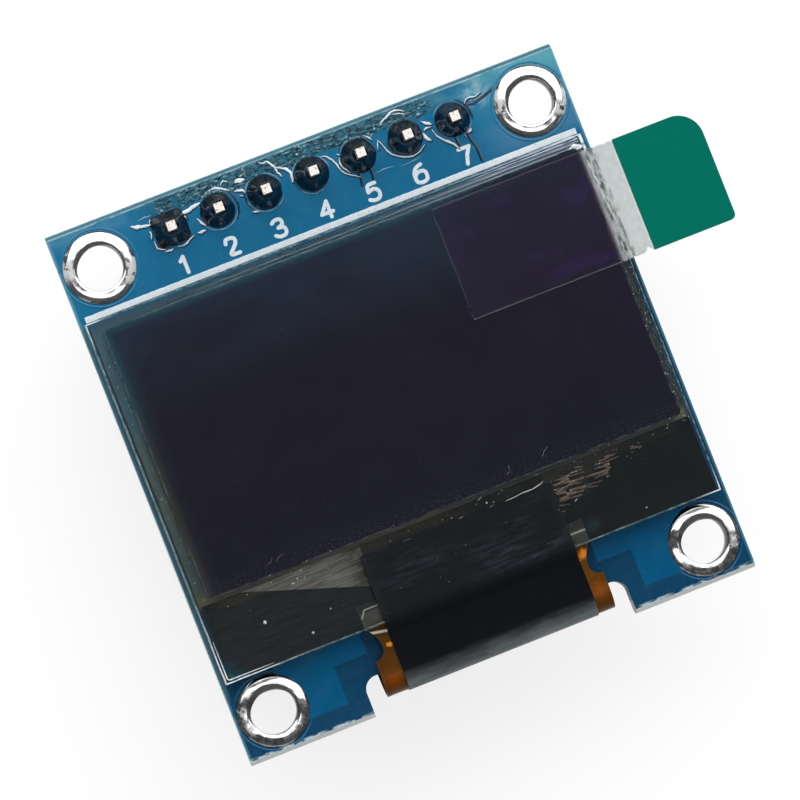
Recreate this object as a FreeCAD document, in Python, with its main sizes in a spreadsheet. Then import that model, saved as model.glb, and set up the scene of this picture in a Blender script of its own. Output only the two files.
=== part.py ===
"""Small OLED display module: a board with header, folded cable and a glass display panel.

Millimetres. The origin is the centre of the four mounting holes on the back face of the board,
+X to the right and +Y towards the header as the display is read, +Z out of the display.
"""
import FreeCAD, Part
import math
import os
import re

import Sketcher

V = FreeCAD.Vector

# Driving dimensions: name, value, what it is.
SIZES = [
    ("glass_width", 26.7, "panel glass width"),
    ("glass_height", 19.26, "front glass height with its ledge"),
    ("glass_thick", 0.55, "front glass thickness"),
    ("glass_edge", 0.05, "broken edge of the front glass"),
    ("glass_shift", -0.1, "panel off the middle of the board"),
    ("board_over_glass", 0.3, "board past each side of the glass"),
    ("board_thick", 1.2, "board thickness"),
    ("score_run", 0.22, "how far the score slopes in from the board edge"),
    ("score_depth", 0.36, "depth of the score from each face"),
    ("hole_over_glass", 2.49, "upper mounting holes above the glass"),
    ("hole_under_glass", 2.05, "lower mounting holes below the glass"),
    ("hole_bore", 2.4, "finished bore of a mounting hole"),
    ("hole_wall", 0.06, "plating and tin on the wall of a mounting hole"),
    ("ring_width", 0.65, "width of the tinned ring round a mounting hole"),
    ("ring_height", 0.18, "height of the tin on the ring"),
    ("ring_slope", 0.2, "how far the tin slopes in at each side of the ring"),
    ("ring_clearance", 0.15, "ring to the header at the least"),
    ("side_margin", 2.0, "hole centre to the side edge of the board"),
    ("top_margin", 2.4, "hole centre to the header edge of the board"),
    ("bottom_margin", 2.2, "hole centre to the cable edge of the board"),
    ("notch_x", 0.1, "middle of the notch and of the cable"),
    ("notch_width", 14.15, "width of the notch in the cable edge"),
    ("notch_depth", 1.95, "depth of the notch"),
    ("notch_radius", 0.7, "radius in the corners of the notch"),
    ("pin_count", 7, "pins in the header"),
    ("pin_spacing", 2.54, "pin to pin"),
    ("pin_row", 0.55, "pin row above the line of the upper holes"),
    ("pin_size", 0.64, "side of the square pin"),
    ("pin_length", 11.6, "length of a pin"),
    ("pin_rise", 3.05, "pin tip above the back face of the board"),
    ("tip_length", 0.5, "length of the tapered tip"),
    ("tip_inset", 0.09, "how far the tip tapers in on each side"),
    ("drill_clearance", 0.05, "corner of a pin to its drilled hole"),
    ("pad_size", 1.85, "pad of a pin, across"),
    ("pad_thick", 0.05, "copper and tin of a pad"),
    ("pad_rim", 0.085, "edge of the pad to the solder"),
    ("solder_wrap", 0.03, "solder round the corners of the pin at its top"),
    ("solder_height", 1.2, "height of the solder above the pad"),
    ("solder_swell", 0.1, "swell of the solder halfway up"),
    ("housing_depth", 2.5, "header housing along the board"),
    ("housing_height", 2.54, "header housing behind the board"),
    ("housing_corner", 0.5, "cut corners of each housing cell"),
    ("ledge_height", 3.86, "bare ledge of the front glass"),
    ("cap_thick", 0.65, "rear glass thickness"),
    ("cavity_depth", 0.25, "depth etched into the rear glass"),
    ("cavity_rim", 1.3, "rim of the rear glass round the cavity"),
    ("seal_thick", 0.05, "glue line between the two glasses"),
    ("seal_width", 0.9, "width of the glue line"),
    ("emitter_thick", 0.03, "light-emitting film"),
    ("emitter_gap", 0.3, "glue line to the light-emitting film"),
    ("desiccant_thick", 0.15, "drying sheet"),
    ("desiccant_gap", 0.8, "cavity wall to the drying sheet"),
    ("adhesive_thick", 0.15, "tape under the panel"),
    ("adhesive_inset", 1.0, "edge of the rear glass to the tape under it"),
    ("polarizer_thick", 0.2, "polarizer thickness"),
    ("polarizer_left", 0.72, "left edge of the glass to the polarizer"),
    ("polarizer_right", 0.48, "right edge of the glass to the polarizer"),
    ("polarizer_top", 0.6, "top edge of the glass to the polarizer"),
    ("polarizer_low", 0.4, "lower edge of the rear glass to the polarizer"),
    ("polarizer_corner", 0.3, "corner radius of the polarizer"),
    ("chip_width", 6.76, "driver chip across"),
    ("chip_depth", 0.86, "driver chip along"),
    ("chip_thick", 0.3, "driver chip thickness"),
    ("chip_gap", 0.9, "rear glass to the driver chip"),
    ("flex_thick", 0.1, "flexible cable thickness"),
    ("flex_bond", 1.2, "cable bonded behind the glass ledge"),
    ("flex_clearance", 0.925, "cable to the side of the notch"),
    ("flex_bond_inset", 0.1, "cable narrower at the glass, on each side"),
    ("flex_waist_inset", 0.6, "cable narrower at its waist, on each side"),
    ("flex_waist_drop", 1.1, "edge of the glass to the waist"),
    ("flex_shoulder", 0.55, "waist to the full width of the fold"),
    ("fold_reach", 1.25, "outside of the fold past the notch"),
    ("bar_ear", 3.45, "soldered bar past the cable on each side"),
    ("bar_height", 2.6, "soldered bar of the cable along"),
    ("bar_rise", 4.55, "end of the bar above the notch"),
    ("bar_corner", 0.6, "corner radii of the bar"),
    ("finger_spacing", 0.62, "solder joint to solder joint on the bar"),
    ("finger_margin", 0.6, "end of the bar to the middle of its first joint at the least"),
    ("finger_width", 0.34, "width of a joint"),
    ("finger_on_board", 0.6, "joint on the board"),
    ("finger_on_flex", 0.7, "joint on the cable"),
    ("finger_thick", 0.06, "solder over the cable"),
    ("tape_inset", 1.025, "edge of the cable to the tape"),
    ("tape_shift", 0.1, "tape off the middle of the cable"),
    ("tape_thick", 0.07, "light-shield tape thickness"),
    ("tape_gap", 0.76, "polarizer to the tape"),
    ("tape_drop_run", 0.45, "tape coming down off the glass"),
    ("tape_return", 1.3, "tape past the fold on the back"),
    ("film_width", 5.95, "pull strip across"),
    ("film_drop", 0.285, "upper edge of the polarizer to the pull strip"),
    ("film_thick", 0.05, "pull strip thickness"),
    ("film_on_panel", 8.0, "pull strip on the polarizer"),
    ("film_overhang", 0.1, "pull strip past the glass before its bend"),
    ("film_slope_run", 0.9, "length of the bend off the panel"),
    ("film_slope_drop", 0.4, "drop of the bend"),
    ("film_under_tab", 1.5, "pull strip under the tab"),
    ("tab_gap", 0.35, "end of the bend to the tab"),
    ("tab_length", 4.45, "tab length"),
    ("tab_thick", 0.1, "tab thickness"),
    ("tab_corner", 1.35, "radius of the tab's upper corner"),
    ("tab_low_corner", 0.3, "radius of the tab's lower corner"),
    ("chip_part_length", 1.6, "capacitor or resistor length"),
    ("chip_part_width", 0.8, "capacitor or resistor width"),
    ("terminal_length", 0.3, "metal end of a capacitor or resistor"),
    ("terminal_wrap", 0.03, "metal end over its body"),
    ("capacitor_height", 0.8, "capacitor height"),
    ("resistor_height", 0.45, "resistor height"),
    ("capacitor_count", 8, "capacitors"),
    ("capacitor_spacing", 2.3, "capacitor to capacitor"),
    ("capacitor_rise", 3.0, "end of the cable's bar to the capacitors"),
    ("resistor_count", 5, "resistors"),
    ("resistor_spacing", 2.2, "resistor to resistor"),
    ("resistor_rise", 4.4, "capacitors to resistors"),
    ("resistor_gap", 3.95, "regulator to the first resistor"),
    ("regulator_x", -6.4, "middle of the regulator across"),
    ("regulator_rise", 5.2, "capacitors to the regulator"),
    ("regulator_length", 2.9, "regulator body length"),
    ("regulator_width", 1.3, "regulator body width"),
    ("regulator_height", 1.0, "regulator body height"),
    ("regulator_lift", 0.08, "regulator body above the board"),
    ("regulator_draft", 7.0, "draft of the regulator body in degrees"),
    ("lead_spacing", 0.95, "middle of the regulator to its outer leads"),
    ("lead_width", 0.4, "regulator lead width"),
    ("lead_thick", 0.12, "regulator lead thickness"),
    ("lead_reach", 0.55, "regulator body to the tip of a lead"),
    ("lead_foot", 0.24, "foot of a lead past its upright"),
    ("lead_bend", 0.06, "inside radius of the bends of a lead"),
]

# Places and sizes that follow from the driving dimensions: name, formula.
PLACES = [
    ("header_length", "pin_count * pin_spacing"),
    ("hole_past_glass", "glass_width / 2 + board_over_glass - side_margin"),
    ("hole_past_header", "header_length / 2 + hole_bore / 2 + ring_width + ring_clearance"),
    ("hole_x", "max(hole_past_glass; hole_past_header)"),
    ("hole_y", "(hole_over_glass + glass_height + hole_under_glass) / 2"),
    ("hole_drill", "hole_bore + 2 * hole_wall"),
    ("board_width", "2 * (hole_x + side_margin)"),
    ("board_top", "hole_y + top_margin"),
    ("board_bottom", "-hole_y - bottom_margin"),
    ("notch_top", "board_bottom + notch_depth"),
    ("pin_y", "hole_y + pin_row"),
    ("first_pin_x", "-(pin_count - 1) * pin_spacing / 2"),
    ("pin_corner", "pin_size * sqrt(2)"),
    ("pin_drill", "pin_corner + 2 * drill_clearance"),
    ("pad_top", "board_thick + pad_thick"),
    ("solder_foot", "pad_size - 2 * pad_rim"),
    ("solder_neck", "pin_corner + 2 * solder_wrap"),
    ("cap_z", "board_thick + adhesive_thick"),
    ("seal_z", "cap_z + cap_thick"),
    ("glass_z", "seal_z + seal_thick"),
    ("polarizer_z", "glass_z + glass_thick"),
    ("film_z", "polarizer_z + polarizer_thick"),
    ("glass_x", "glass_shift"),
    ("glass_top", "hole_y - hole_over_glass"),
    ("glass_bottom", "hole_under_glass - hole_y"),
    ("glass_y", "(glass_top + glass_bottom) / 2"),
    ("glass_end", "glass_x + glass_width / 2"),
    ("cap_height", "glass_height - ledge_height"),
    ("cap_y", "glass_top - cap_height / 2"),
    ("cap_bottom", "glass_top - cap_height"),
    ("polarizer_width", "glass_width - polarizer_left - polarizer_right"),
    ("polarizer_height", "cap_height - polarizer_top - polarizer_low"),
    ("polarizer_x", "glass_x + (polarizer_left - polarizer_right) / 2"),
    ("polarizer_y", "glass_top - polarizer_top - polarizer_height / 2"),
    ("polarizer_end", "glass_end - polarizer_right"),
    ("polarizer_bottom", "cap_bottom + polarizer_low"),
    ("cavity_width", "glass_width - 2 * cavity_rim"),
    ("cavity_height", "cap_height - 2 * cavity_rim"),
    ("seal_outset", "(cavity_rim - seal_width) / 2"),
    ("emitter_inset", "seal_outset + seal_width + emitter_gap"),
    ("flex_top", "glass_z"),
    ("flex_under", "flex_top - flex_thick"),
    ("flex_start", "glass_bottom + flex_bond"),
    ("flex_fold_width", "notch_width - 2 * flex_clearance"),
    ("flex_bond_width", "flex_fold_width - 2 * flex_bond_inset"),
    ("flex_waist_width", "flex_fold_width - 2 * flex_waist_inset"),
    ("fold_z", "(flex_top - flex_thick) / 2"),
    ("fold_outer", "flex_top - fold_z"),
    ("fold_inner", "flex_under - fold_z"),
    ("fold_y", "notch_top - fold_reach + fold_outer"),
    ("bar_width", "flex_fold_width + 2 * bar_ear"),
    ("bar_end", "notch_top + bar_rise"),
    ("bar_start", "bar_end - bar_height"),
    ("finger_count", "floor((bar_width - 2 * finger_margin) / finger_spacing) + 1"),
    ("waist_y", "glass_bottom - flex_waist_drop"),
    ("waist_in", "flex_waist_inset - flex_bond_inset"),
    ("waist_radius", "(waist_in ^ 2 + flex_waist_drop ^ 2) / (2 * waist_in)"),
    ("shoulder_radius", "(flex_waist_inset ^ 2 + flex_shoulder ^ 2) / (2 * flex_waist_inset)"),
    ("tape_width", "flex_fold_width - 2 * tape_inset"),
    ("tape_start", "polarizer_bottom - tape_gap"),
    ("tape_miter", "tape_thick * tan(atan(glass_thick / tape_drop_run) / 2)"),
    ("tape_outer", "fold_outer + tape_thick"),
    ("film_y", "polarizer_y + polarizer_height / 2 - film_drop - film_width / 2"),
    ("film_start", "polarizer_end - film_on_panel"),
    ("film_bend", "glass_end + film_overhang"),
    ("film_bend_end", "film_bend + film_slope_run"),
    ("film_low", "film_z - film_slope_drop"),
    ("film_miter", "film_thick * tan(atan(film_slope_drop / film_slope_run) / 2)"),
    ("tab_x", "film_bend_end + tab_gap"),
    ("tab_z", "film_low + film_thick"),
    ("capacitor_y", "bar_end + capacitor_rise"),
    ("resistor_y", "capacitor_y + resistor_rise"),
    ("resistor_x", "regulator_x + regulator_length / 2 + resistor_gap + chip_part_width / 2"),
    ("regulator_y", "capacitor_y + regulator_rise"),
    ("lead_end", "regulator_width / 2 + lead_reach"),
    ("lead_top", "regulator_lift + (regulator_height + lead_thick) / 2"),
    ("lead_knee", "lead_end - lead_foot - lead_thick"),
]

doc = FreeCAD.newDocument("small_oled_module")


def write_sheet(name, rows):
    """A sheet with one row per name, its text in column B under that alias."""
    sheet = doc.addObject("Spreadsheet::Sheet", name)
    for number, row in enumerate(rows, start=1):
        sheet.set(f"A{number}", row[0])
        sheet.set(f"B{number}", row[1])
        sheet.setAlias(f"B{number}", row[0])
        if len(row) > 2:
            sheet.set(f"C{number}", row[2])
    return sheet


HOME = {row[0]: "Sizes" for row in SIZES}
HOME.update({row[0]: "Places" for row in PLACES})


def formula(text):
    """The expression with the sheet's name in front of each alias."""

    def with_sheet(match):
        word = match.group(0)
        return f"{HOME[word]}.{word}" if word in HOME else word

    return re.sub(r"[a-z][a-z_0-9]*", with_sheet, text)


sizes = write_sheet("Sizes", [(name, str(number), note) for name, number, note in SIZES])
places = write_sheet("Places", [(name, "=" + formula(text)) for name, text in PLACES])
doc.recompute()

SUBPARTS = []


def number(text):
    """The present value of an expression."""
    result = sizes.evalExpression(formula(text))
    return float(getattr(result, "Value", result))


def bind(thing, **expressions):
    """Ties properties of an object to the sheets, Placement_Base_x standing for Placement.Base.x."""
    for name, text in expressions.items():
        thing.setExpression(name.replace("_", "."), formula(text))


def place(thing, x="0", y="0", z="0", turned_over=False, quarter_turns=0):
    """Puts a sub-part at x, y, z, turned over onto the back of the board if asked."""
    turn = FreeCAD.Rotation(V(0, 0, 1), 90 * quarter_turns)
    flip = FreeCAD.Rotation(V(1, 0, 0), 180 if turned_over else 0)
    thing.Placement = FreeCAD.Placement(V(0, 0, 0), flip.multiply(turn))
    bind(thing, Placement_Base_x=x, Placement_Base_y=y, Placement_Base_z=z)


def new_body(label):
    body = doc.addObject("PartDesign::Body", label)
    body.Label = label
    SUBPARTS.append(body)
    return body


def origin_feature(body, role):
    return next(item for item in body.Origin.OriginFeatures if item.Role == role)


def new_sketch(body, plane="XY_Plane", offset="0", x="0", y="0"):
    """A sketch on one of the body's own planes, moved along the normal by the offset."""
    sketch = body.newObject("Sketcher::SketchObject", "Sketch")
    sketch.AttachmentSupport = [(origin_feature(body, plane), "")]
    sketch.MapMode = "FlatFace"
    bind(sketch, AttachmentOffset_Base_x=x, AttachmentOffset_Base_y=y, AttachmentOffset_Base_z=offset)
    return sketch


def pin_point(sketch, geometry, end, x, y):
    """Fixes one point of a sketch at x, y from its origin."""
    for kind, text in (("DistanceX", x), ("DistanceY", y)):
        index = sketch.addConstraint(Sketcher.Constraint(kind, -1, 1, geometry, end, number(text)))
        sketch.setExpression(f"Constraints[{index}]", formula(text))


def arc_between(start, end, radius, side):
    """The shorter arc from start to end, its centre left (1) or right (-1) of the chord."""
    chord = end - start
    middle = (start + end) / 2
    left = V(-chord.y, chord.x, 0).normalize()
    centre = middle + left * side * math.sqrt(max(radius ** 2 - chord.Length ** 2 / 4, 0))
    crown = centre + (middle - centre).normalize() * radius
    return Part.Arc(start, crown, end)


def outline(sketch, corners, arcs=None):
    """A closed outline through the corners. arcs gives the radius and side of an arc that
    leaves a corner, by the corner's number; every other side is a line."""
    arcs = arcs or {}
    first = sketch.GeometryCount
    count = len(corners)
    points = [V(number(x), number(y), 0) for x, y in corners]
    for i, start in enumerate(points):
        end = points[(i + 1) % count]
        if i in arcs:
            radius, side = arcs[i]
            sketch.addGeometry(arc_between(start, end, number(radius), side))
        else:
            sketch.addGeometry(Part.LineSegment(start, end))
    # An arc is kept counter-clockwise, so its first point is where a clockwise one ends.
    begins = [2 if i in arcs and arcs[i][1] < 0 else 1 for i in range(count)]
    for i, (x, y) in enumerate(corners):
        before = (i - 1) % count
        end_of_before = 3 - begins[before]
        sketch.addConstraint(
            Sketcher.Constraint("Coincident", first + before, end_of_before, first + i, begins[i]))
        pin_point(sketch, first + i, begins[i], x, y)
        if i in arcs:
            index = sketch.addConstraint(Sketcher.Constraint("Radius", first + i, number(arcs[i][0])))
            sketch.setExpression(f"Constraints[{index}]", formula(arcs[i][0]))


def rectangle(sketch, width, height, x="0", y="0"):
    """A rectangle about the point x, y."""
    left, right = f"{x} - ({width}) / 2", f"{x} + ({width}) / 2"
    low, high = f"{y} - ({height}) / 2", f"{y} + ({height}) / 2"
    outline(sketch, [(left, low), (right, low), (right, high), (left, high)])


def circle(sketch, diameter, x="0", y="0"):
    centre = V(number(x), number(y), 0)
    index = sketch.addGeometry(Part.Circle(centre, V(0, 0, 1), number(diameter) / 2))
    pin_point(sketch, index, 3, x, y)
    size = sketch.addConstraint(Sketcher.Constraint("Diameter", index, number(diameter)))
    sketch.setExpression(f"Constraints[{size}]", formula(diameter))


def pad(body, sketch, length, symmetric=False, down=False):
    """Adds the sketch's area, along its normal, against it, or half each way."""
    feature = body.newObject("PartDesign::Pad", "Pad")
    feature.Profile = sketch
    feature.SideType = "Symmetric" if symmetric else "One side"
    feature.Reversed = down
    bind(feature, Length=length)
    body.Tip = feature
    return feature


def pocket_through(body, sketch, both_ways=True, up=False):
    """Cuts the sketch's area through all of the body, or only above or below the sketch."""
    feature = body.newObject("PartDesign::Pocket", "Pocket")
    feature.Profile = sketch
    feature.Type = "ThroughAll"
    feature.Midplane = both_ways
    feature.Reversed = up
    body.Tip = feature
    return feature


def pocket(body, sketch, depth):
    """Cuts the sketch's area down to a depth."""
    feature = body.newObject("PartDesign::Pocket", "Pocket")
    feature.Profile = sketch
    bind(feature, Length=depth)
    body.Tip = feature
    return feature


def revolve(body, sketch):
    """Turns the sketch's area round the body's Z axis."""
    feature = body.newObject("PartDesign::Revolution", "Revolution")
    feature.Profile = sketch
    feature.ReferenceAxis = (origin_feature(body, "Z_Axis"), [""])
    feature.Angle = 360
    body.Tip = feature
    return feature


def repeat(body, features, axis, spacing, count):
    """Repeats features along one of the body's axes."""
    pattern = body.newObject("PartDesign::LinearPattern", "LinearPattern")
    pattern.Originals = features
    pattern.Direction = (origin_feature(body, axis), [""])
    pattern.Mode = "Spacing"
    bind(pattern, Offset=spacing, Occurrences=count)
    body.Tip = pattern
    return pattern


# Edges shorter than this across are taken as upright.
UPRIGHT = 1e-6


def edges_along_z(feature, wanted=lambda point: True):
    """Names of the straight upright edges whose middle is wanted."""
    doc.recompute()
    names = []
    for index, edge in enumerate(feature.Shape.Edges, start=1):
        box = edge.BoundBox
        if max(box.XLength, box.YLength) < UPRIGHT < box.ZLength and wanted(box.Center):
            names.append(f"Edge{index}")
    return names


def fillet(body, feature, names, radius):
    """Rounds edges of the feature before it."""
    rounded = body.newObject("PartDesign::Fillet", "Fillet")
    rounded.Base = (feature, names)
    bind(rounded, Radius=radius)
    body.Tip = rounded
    return rounded


def plate(label, width, height, thick, x, y, z):
    """A plain rectangular sheet about x, y with its lower face at z."""
    sheet = doc.addObject("Part::Box", label)
    sheet.Label = label
    bind(sheet, Length=width, Width=height, Height=thick)
    place(sheet, f"{x} - ({width}) / 2", f"{y} - ({height}) / 2", z)
    SUBPARTS.append(sheet)
    return sheet


# The board and what is plated and soldered on it.


def build_pcb():
    """Scored section drawn from the side and run across the board, then notched and drilled."""
    body = new_body("pcb")
    side = new_sketch(body, "YZ_Plane")
    low, high = "score_depth", "board_thick - score_depth"
    outline(side, [
        ("board_bottom + score_run", "0"),
        ("board_top - score_run", "0"),
        ("board_top", low),
        ("board_top", high),
        ("board_top - score_run", "board_thick"),
        ("board_bottom + score_run", "board_thick"),
        ("board_bottom", high),
        ("board_bottom", low),
    ])
    pad(body, side, "board_width", symmetric=True)

    notch = new_sketch(body)
    left, right = "notch_x - notch_width / 2", "notch_x + notch_width / 2"
    below = "board_bottom - notch_depth"
    outline(notch, [
        (left, below),
        (right, below),
        (right, "notch_top - notch_radius"),
        (f"{right} - notch_radius", "notch_top"),
        (f"{left} + notch_radius", "notch_top"),
        (left, "notch_top - notch_radius"),
    ], arcs={2: ("notch_radius", 1), 4: ("notch_radius", 1)})
    pocket_through(body, notch)

    holes = new_sketch(body)
    for x in ("-hole_x", "hole_x"):
        for y in ("-hole_y", "hole_y"):
            circle(holes, "hole_drill", x, y)
    pocket_through(body, holes)

    pin_hole = new_sketch(body)
    circle(pin_hole, "pin_drill", "first_pin_x", "pin_y")
    first_hole = pocket_through(body, pin_hole)
    repeat(body, [first_hole], "X_Axis", "pin_spacing", "pin_count")


def build_hole_plating(label, x, y):
    """Thin barrel with a raised ring of tin on each face of the board."""
    body = new_body(label)
    section = new_sketch(body, "XZ_Plane")
    bore, drill, rim = "hole_bore / 2", "hole_drill / 2", "(hole_bore / 2 + ring_width)"
    over = "board_thick + ring_height"
    outline(section, [
        (bore, "0"),
        (f"{bore} + ring_slope", "-ring_height"),
        (f"{rim} - ring_slope", "-ring_height"),
        (rim, "0"),
        (drill, "0"),
        (drill, "board_thick"),
        (rim, "board_thick"),
        (f"{rim} - ring_slope", over),
        (f"{bore} + ring_slope", over),
        (bore, "board_thick"),
    ])
    revolve(body, section)
    place(body, x, y)


def build_solder_joint(label, x, square_pad):
    """Pad, barrel fill and bulging cone of solder round a square pin."""
    body = new_body(label)
    base = new_sketch(body, offset="board_thick")
    if square_pad:
        rectangle(base, "pad_size", "pad_size")
    else:
        circle(base, "pad_size")
    pad(body, base, "pad_thick")

    section = new_sketch(body, "XZ_Plane")
    foot, neck = "solder_foot / 2", "solder_neck / 2"
    shoulder = "((solder_foot + solder_neck) / 4 + solder_swell)"
    outline(section, [
        ("0", "0"),
        ("pin_drill / 2", "0"),
        ("pin_drill / 2", "pad_top"),
        (foot, "pad_top"),
        (shoulder, "pad_top + solder_height / 2"),
        (neck, "pad_top + solder_height"),
        ("0", "pad_top + solder_height"),
    ])
    revolve(body, section)

    pin = new_sketch(body)
    rectangle(pin, "pin_size", "pin_size")
    pocket_through(body, pin)
    place(body, x, "pin_y")


# The header behind the board.


def build_header_housing():
    """One eight-sided cell with its square pin hole, repeated along the row."""
    body = new_body("header_housing")
    cell = new_sketch(body)
    side, front = "pin_spacing / 2", "housing_depth / 2"
    cut_side, cut_front = f"{side} - housing_corner", f"{front} - housing_corner"
    outline(cell, [
        (f"-({cut_side})", f"-{front}"),
        (cut_side, f"-{front}"),
        (side, f"-({cut_front})"),
        (side, cut_front),
        (cut_side, front),
        (f"-({cut_side})", front),
        (f"-{side}", cut_front),
        (f"-{side}", f"-({cut_front})"),
    ])
    rectangle(cell, "pin_size", "pin_size")
    one_cell = pad(body, cell, "housing_height", down=True)
    repeat(body, [one_cell], "X_Axis", "pin_spacing", "pin_count")
    place(body, "first_pin_x", "pin_y")


def build_header_pin(label, x):
    """Square wire with both ends tapered."""
    body = new_body(label)
    shank = "pin_length - 2 * tip_length"
    square = new_sketch(body)
    rectangle(square, "pin_size", "pin_size")
    pad(body, square, shank, down=True)
    for offset, down in (("0", False), (f"-({shank})", True)):
        end = new_sketch(body, offset=offset)
        rectangle(end, "pin_size", "pin_size")
        tip = pad(body, end, "tip_length", down=down)
        bind(tip, TaperAngle="-atan(tip_inset / tip_length)")
    place(body, x, "pin_y", "pin_rise - tip_length")


# The display panel.


def build_panel_adhesive():
    inset = "2 * adhesive_inset"
    plate("panel_adhesive", f"glass_width - {inset}", f"cap_height - {inset}", "adhesive_thick",
          "glass_x", "cap_y", "board_thick")


def build_cap_glass():
    """Rear glass, etched out inside its rim."""
    body = new_body("cap_glass")
    slab = new_sketch(body)
    rectangle(slab, "glass_width", "cap_height")
    pad(body, slab, "cap_thick")
    cavity = new_sketch(body, offset="cap_thick")
    rectangle(cavity, "cavity_width", "cavity_height")
    pocket(body, cavity, "cavity_depth")
    place(body, "glass_x", "cap_y", "cap_z")


def build_desiccant_sheet():
    gap = "2 * desiccant_gap"
    plate("desiccant_sheet", f"cavity_width - {gap}", f"cavity_height - {gap}", "desiccant_thick",
          "glass_x", "cap_y", "seal_z - cavity_depth")


def build_seal_bead():
    """Thin rectangular ring of glue on the rim of the rear glass."""
    body = new_body("seal_bead")
    ring = new_sketch(body)
    outer = "2 * seal_outset"
    inner = "2 * (seal_outset + seal_width)"
    rectangle(ring, f"glass_width - {outer}", f"cap_height - {outer}")
    rectangle(ring, f"glass_width - {inner}", f"cap_height - {inner}")
    pad(body, ring, "seal_thick")
    place(body, "glass_x", "cap_y", "seal_z")


def build_emitter_layer():
    inset = "2 * emitter_inset"
    plate("emitter_layer", f"glass_width - {inset}", f"cap_height - {inset}", "emitter_thick",
          "glass_x", "cap_y", "glass_z - emitter_thick")


def build_substrate_glass():
    """Front glass with the edges of its front face broken."""
    body = new_body("substrate_glass")
    slab = new_sketch(body)
    rectangle(slab, "glass_width", "glass_height")
    block = pad(body, slab, "glass_thick")
    doc.recompute()
    front = [f"Face{i}" for i, face in enumerate(block.Shape.Faces, start=1)
             if face.normalAt(0, 0).z > 0.5]
    broken = body.newObject("PartDesign::Chamfer", "Chamfer")
    broken.Base = (block, front)
    bind(broken, Size="glass_edge")
    body.Tip = broken
    place(body, "glass_x", "glass_y", "glass_z")


def build_polarizer():
    body = new_body("polarizer")
    sheet = new_sketch(body)
    rectangle(sheet, "polarizer_width", "polarizer_height")
    film = pad(body, sheet, "polarizer_thick")
    fillet(body, film, edges_along_z(film), "polarizer_corner")
    place(body, "polarizer_x", "polarizer_y", "polarizer_z")


def build_driver_chip():
    plate("driver_chip", "chip_width", "chip_depth", "chip_thick",
          "glass_x", "cap_bottom - chip_gap - chip_depth / 2", "glass_z - chip_thick")


# The cable, its tape and its solder.


def build_flex_cable():
    """Folded strip drawn from the side at its full width, then trimmed from the front to the
    waist and from the back to the bar."""
    body = new_body("flex_cable")
    fold = new_sketch(body, "YZ_Plane")
    outline(fold, [
        ("flex_start", "flex_top"),
        ("fold_y", "flex_top"),
        ("fold_y - fold_outer", "fold_z"),
        ("fold_y", "-flex_thick"),
        ("bar_end", "-flex_thick"),
        ("bar_end", "0"),
        ("fold_y", "0"),
        ("fold_y - fold_inner", "fold_z"),
        ("fold_y", "flex_under"),
        ("flex_start", "flex_under"),
    ], arcs={1: ("fold_outer", 1), 2: ("fold_outer", 1), 6: ("fold_inner", -1), 7: ("fold_inner", -1)})
    pad(body, fold, "bar_width", symmetric=True)

    beyond = "bar_width"
    below = "fold_y - 2 * fold_outer"
    for side, way in (("-", -1), ("", 1)):
        front = new_sketch(body, offset="fold_z")
        outline(front, [
            (f"{side}flex_bond_width / 2", "flex_start + flex_bond"),
            (f"{side}flex_bond_width / 2", "glass_bottom"),
            (f"{side}flex_waist_width / 2", "waist_y"),
            (f"{side}flex_fold_width / 2", "waist_y - flex_shoulder"),
            (f"{side}flex_fold_width / 2", below),
            (f"{side}{beyond}", below),
            (f"{side}{beyond}", "flex_start + flex_bond"),
        ], arcs={1: ("waist_radius", way), 2: ("shoulder_radius", way)})
        pocket_through(body, front, both_ways=False, up=True)

        back = new_sketch(body, offset="fold_z")
        outline(back, [
            (f"{side}flex_fold_width / 2", below),
            (f"{side}flex_fold_width / 2", "bar_start - bar_corner"),
            (f"{side}(flex_fold_width / 2 + bar_corner)", "bar_start"),
            (f"{side}{beyond}", "bar_start"),
            (f"{side}{beyond}", below),
        ], arcs={1: ("bar_corner", -way)})
        trimmed = pocket_through(body, back, both_ways=False)

    ends = edges_along_z(trimmed, lambda point: abs(point.x) > number("flex_fold_width / 2 + bar_corner"))
    fillet(body, trimmed, ends, "bar_corner")
    place(body, "notch_x")


def build_light_shield_tape():
    """Tape from the front of the glass ledge, down onto the cable and round the fold."""
    body = new_body("light_shield_tape")
    run = new_sketch(body, "YZ_Plane")
    drop_end = "glass_bottom - tape_drop_run"
    outline(run, [
        ("tape_start", "polarizer_z"),
        ("glass_bottom", "polarizer_z"),
        (drop_end, "flex_top"),
        ("fold_y", "flex_top"),
        ("fold_y - fold_outer", "fold_z"),
        ("fold_y", "-flex_thick"),
        ("fold_y + tape_return", "-flex_thick"),
        ("fold_y + tape_return", "-flex_thick - tape_thick"),
        ("fold_y", "-flex_thick - tape_thick"),
        ("fold_y - tape_outer", "fold_z"),
        ("fold_y", "flex_top + tape_thick"),
        (f"{drop_end} - tape_miter", "flex_top + tape_thick"),
        ("glass_bottom - tape_miter", "polarizer_z + tape_thick"),
        ("tape_start", "polarizer_z + tape_thick"),
    ], arcs={3: ("fold_outer", 1), 4: ("fold_outer", 1), 8: ("tape_outer", -1), 9: ("tape_outer", -1)})
    pad(body, run, "tape_width", symmetric=True)
    place(body, "notch_x + tape_shift")


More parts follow.
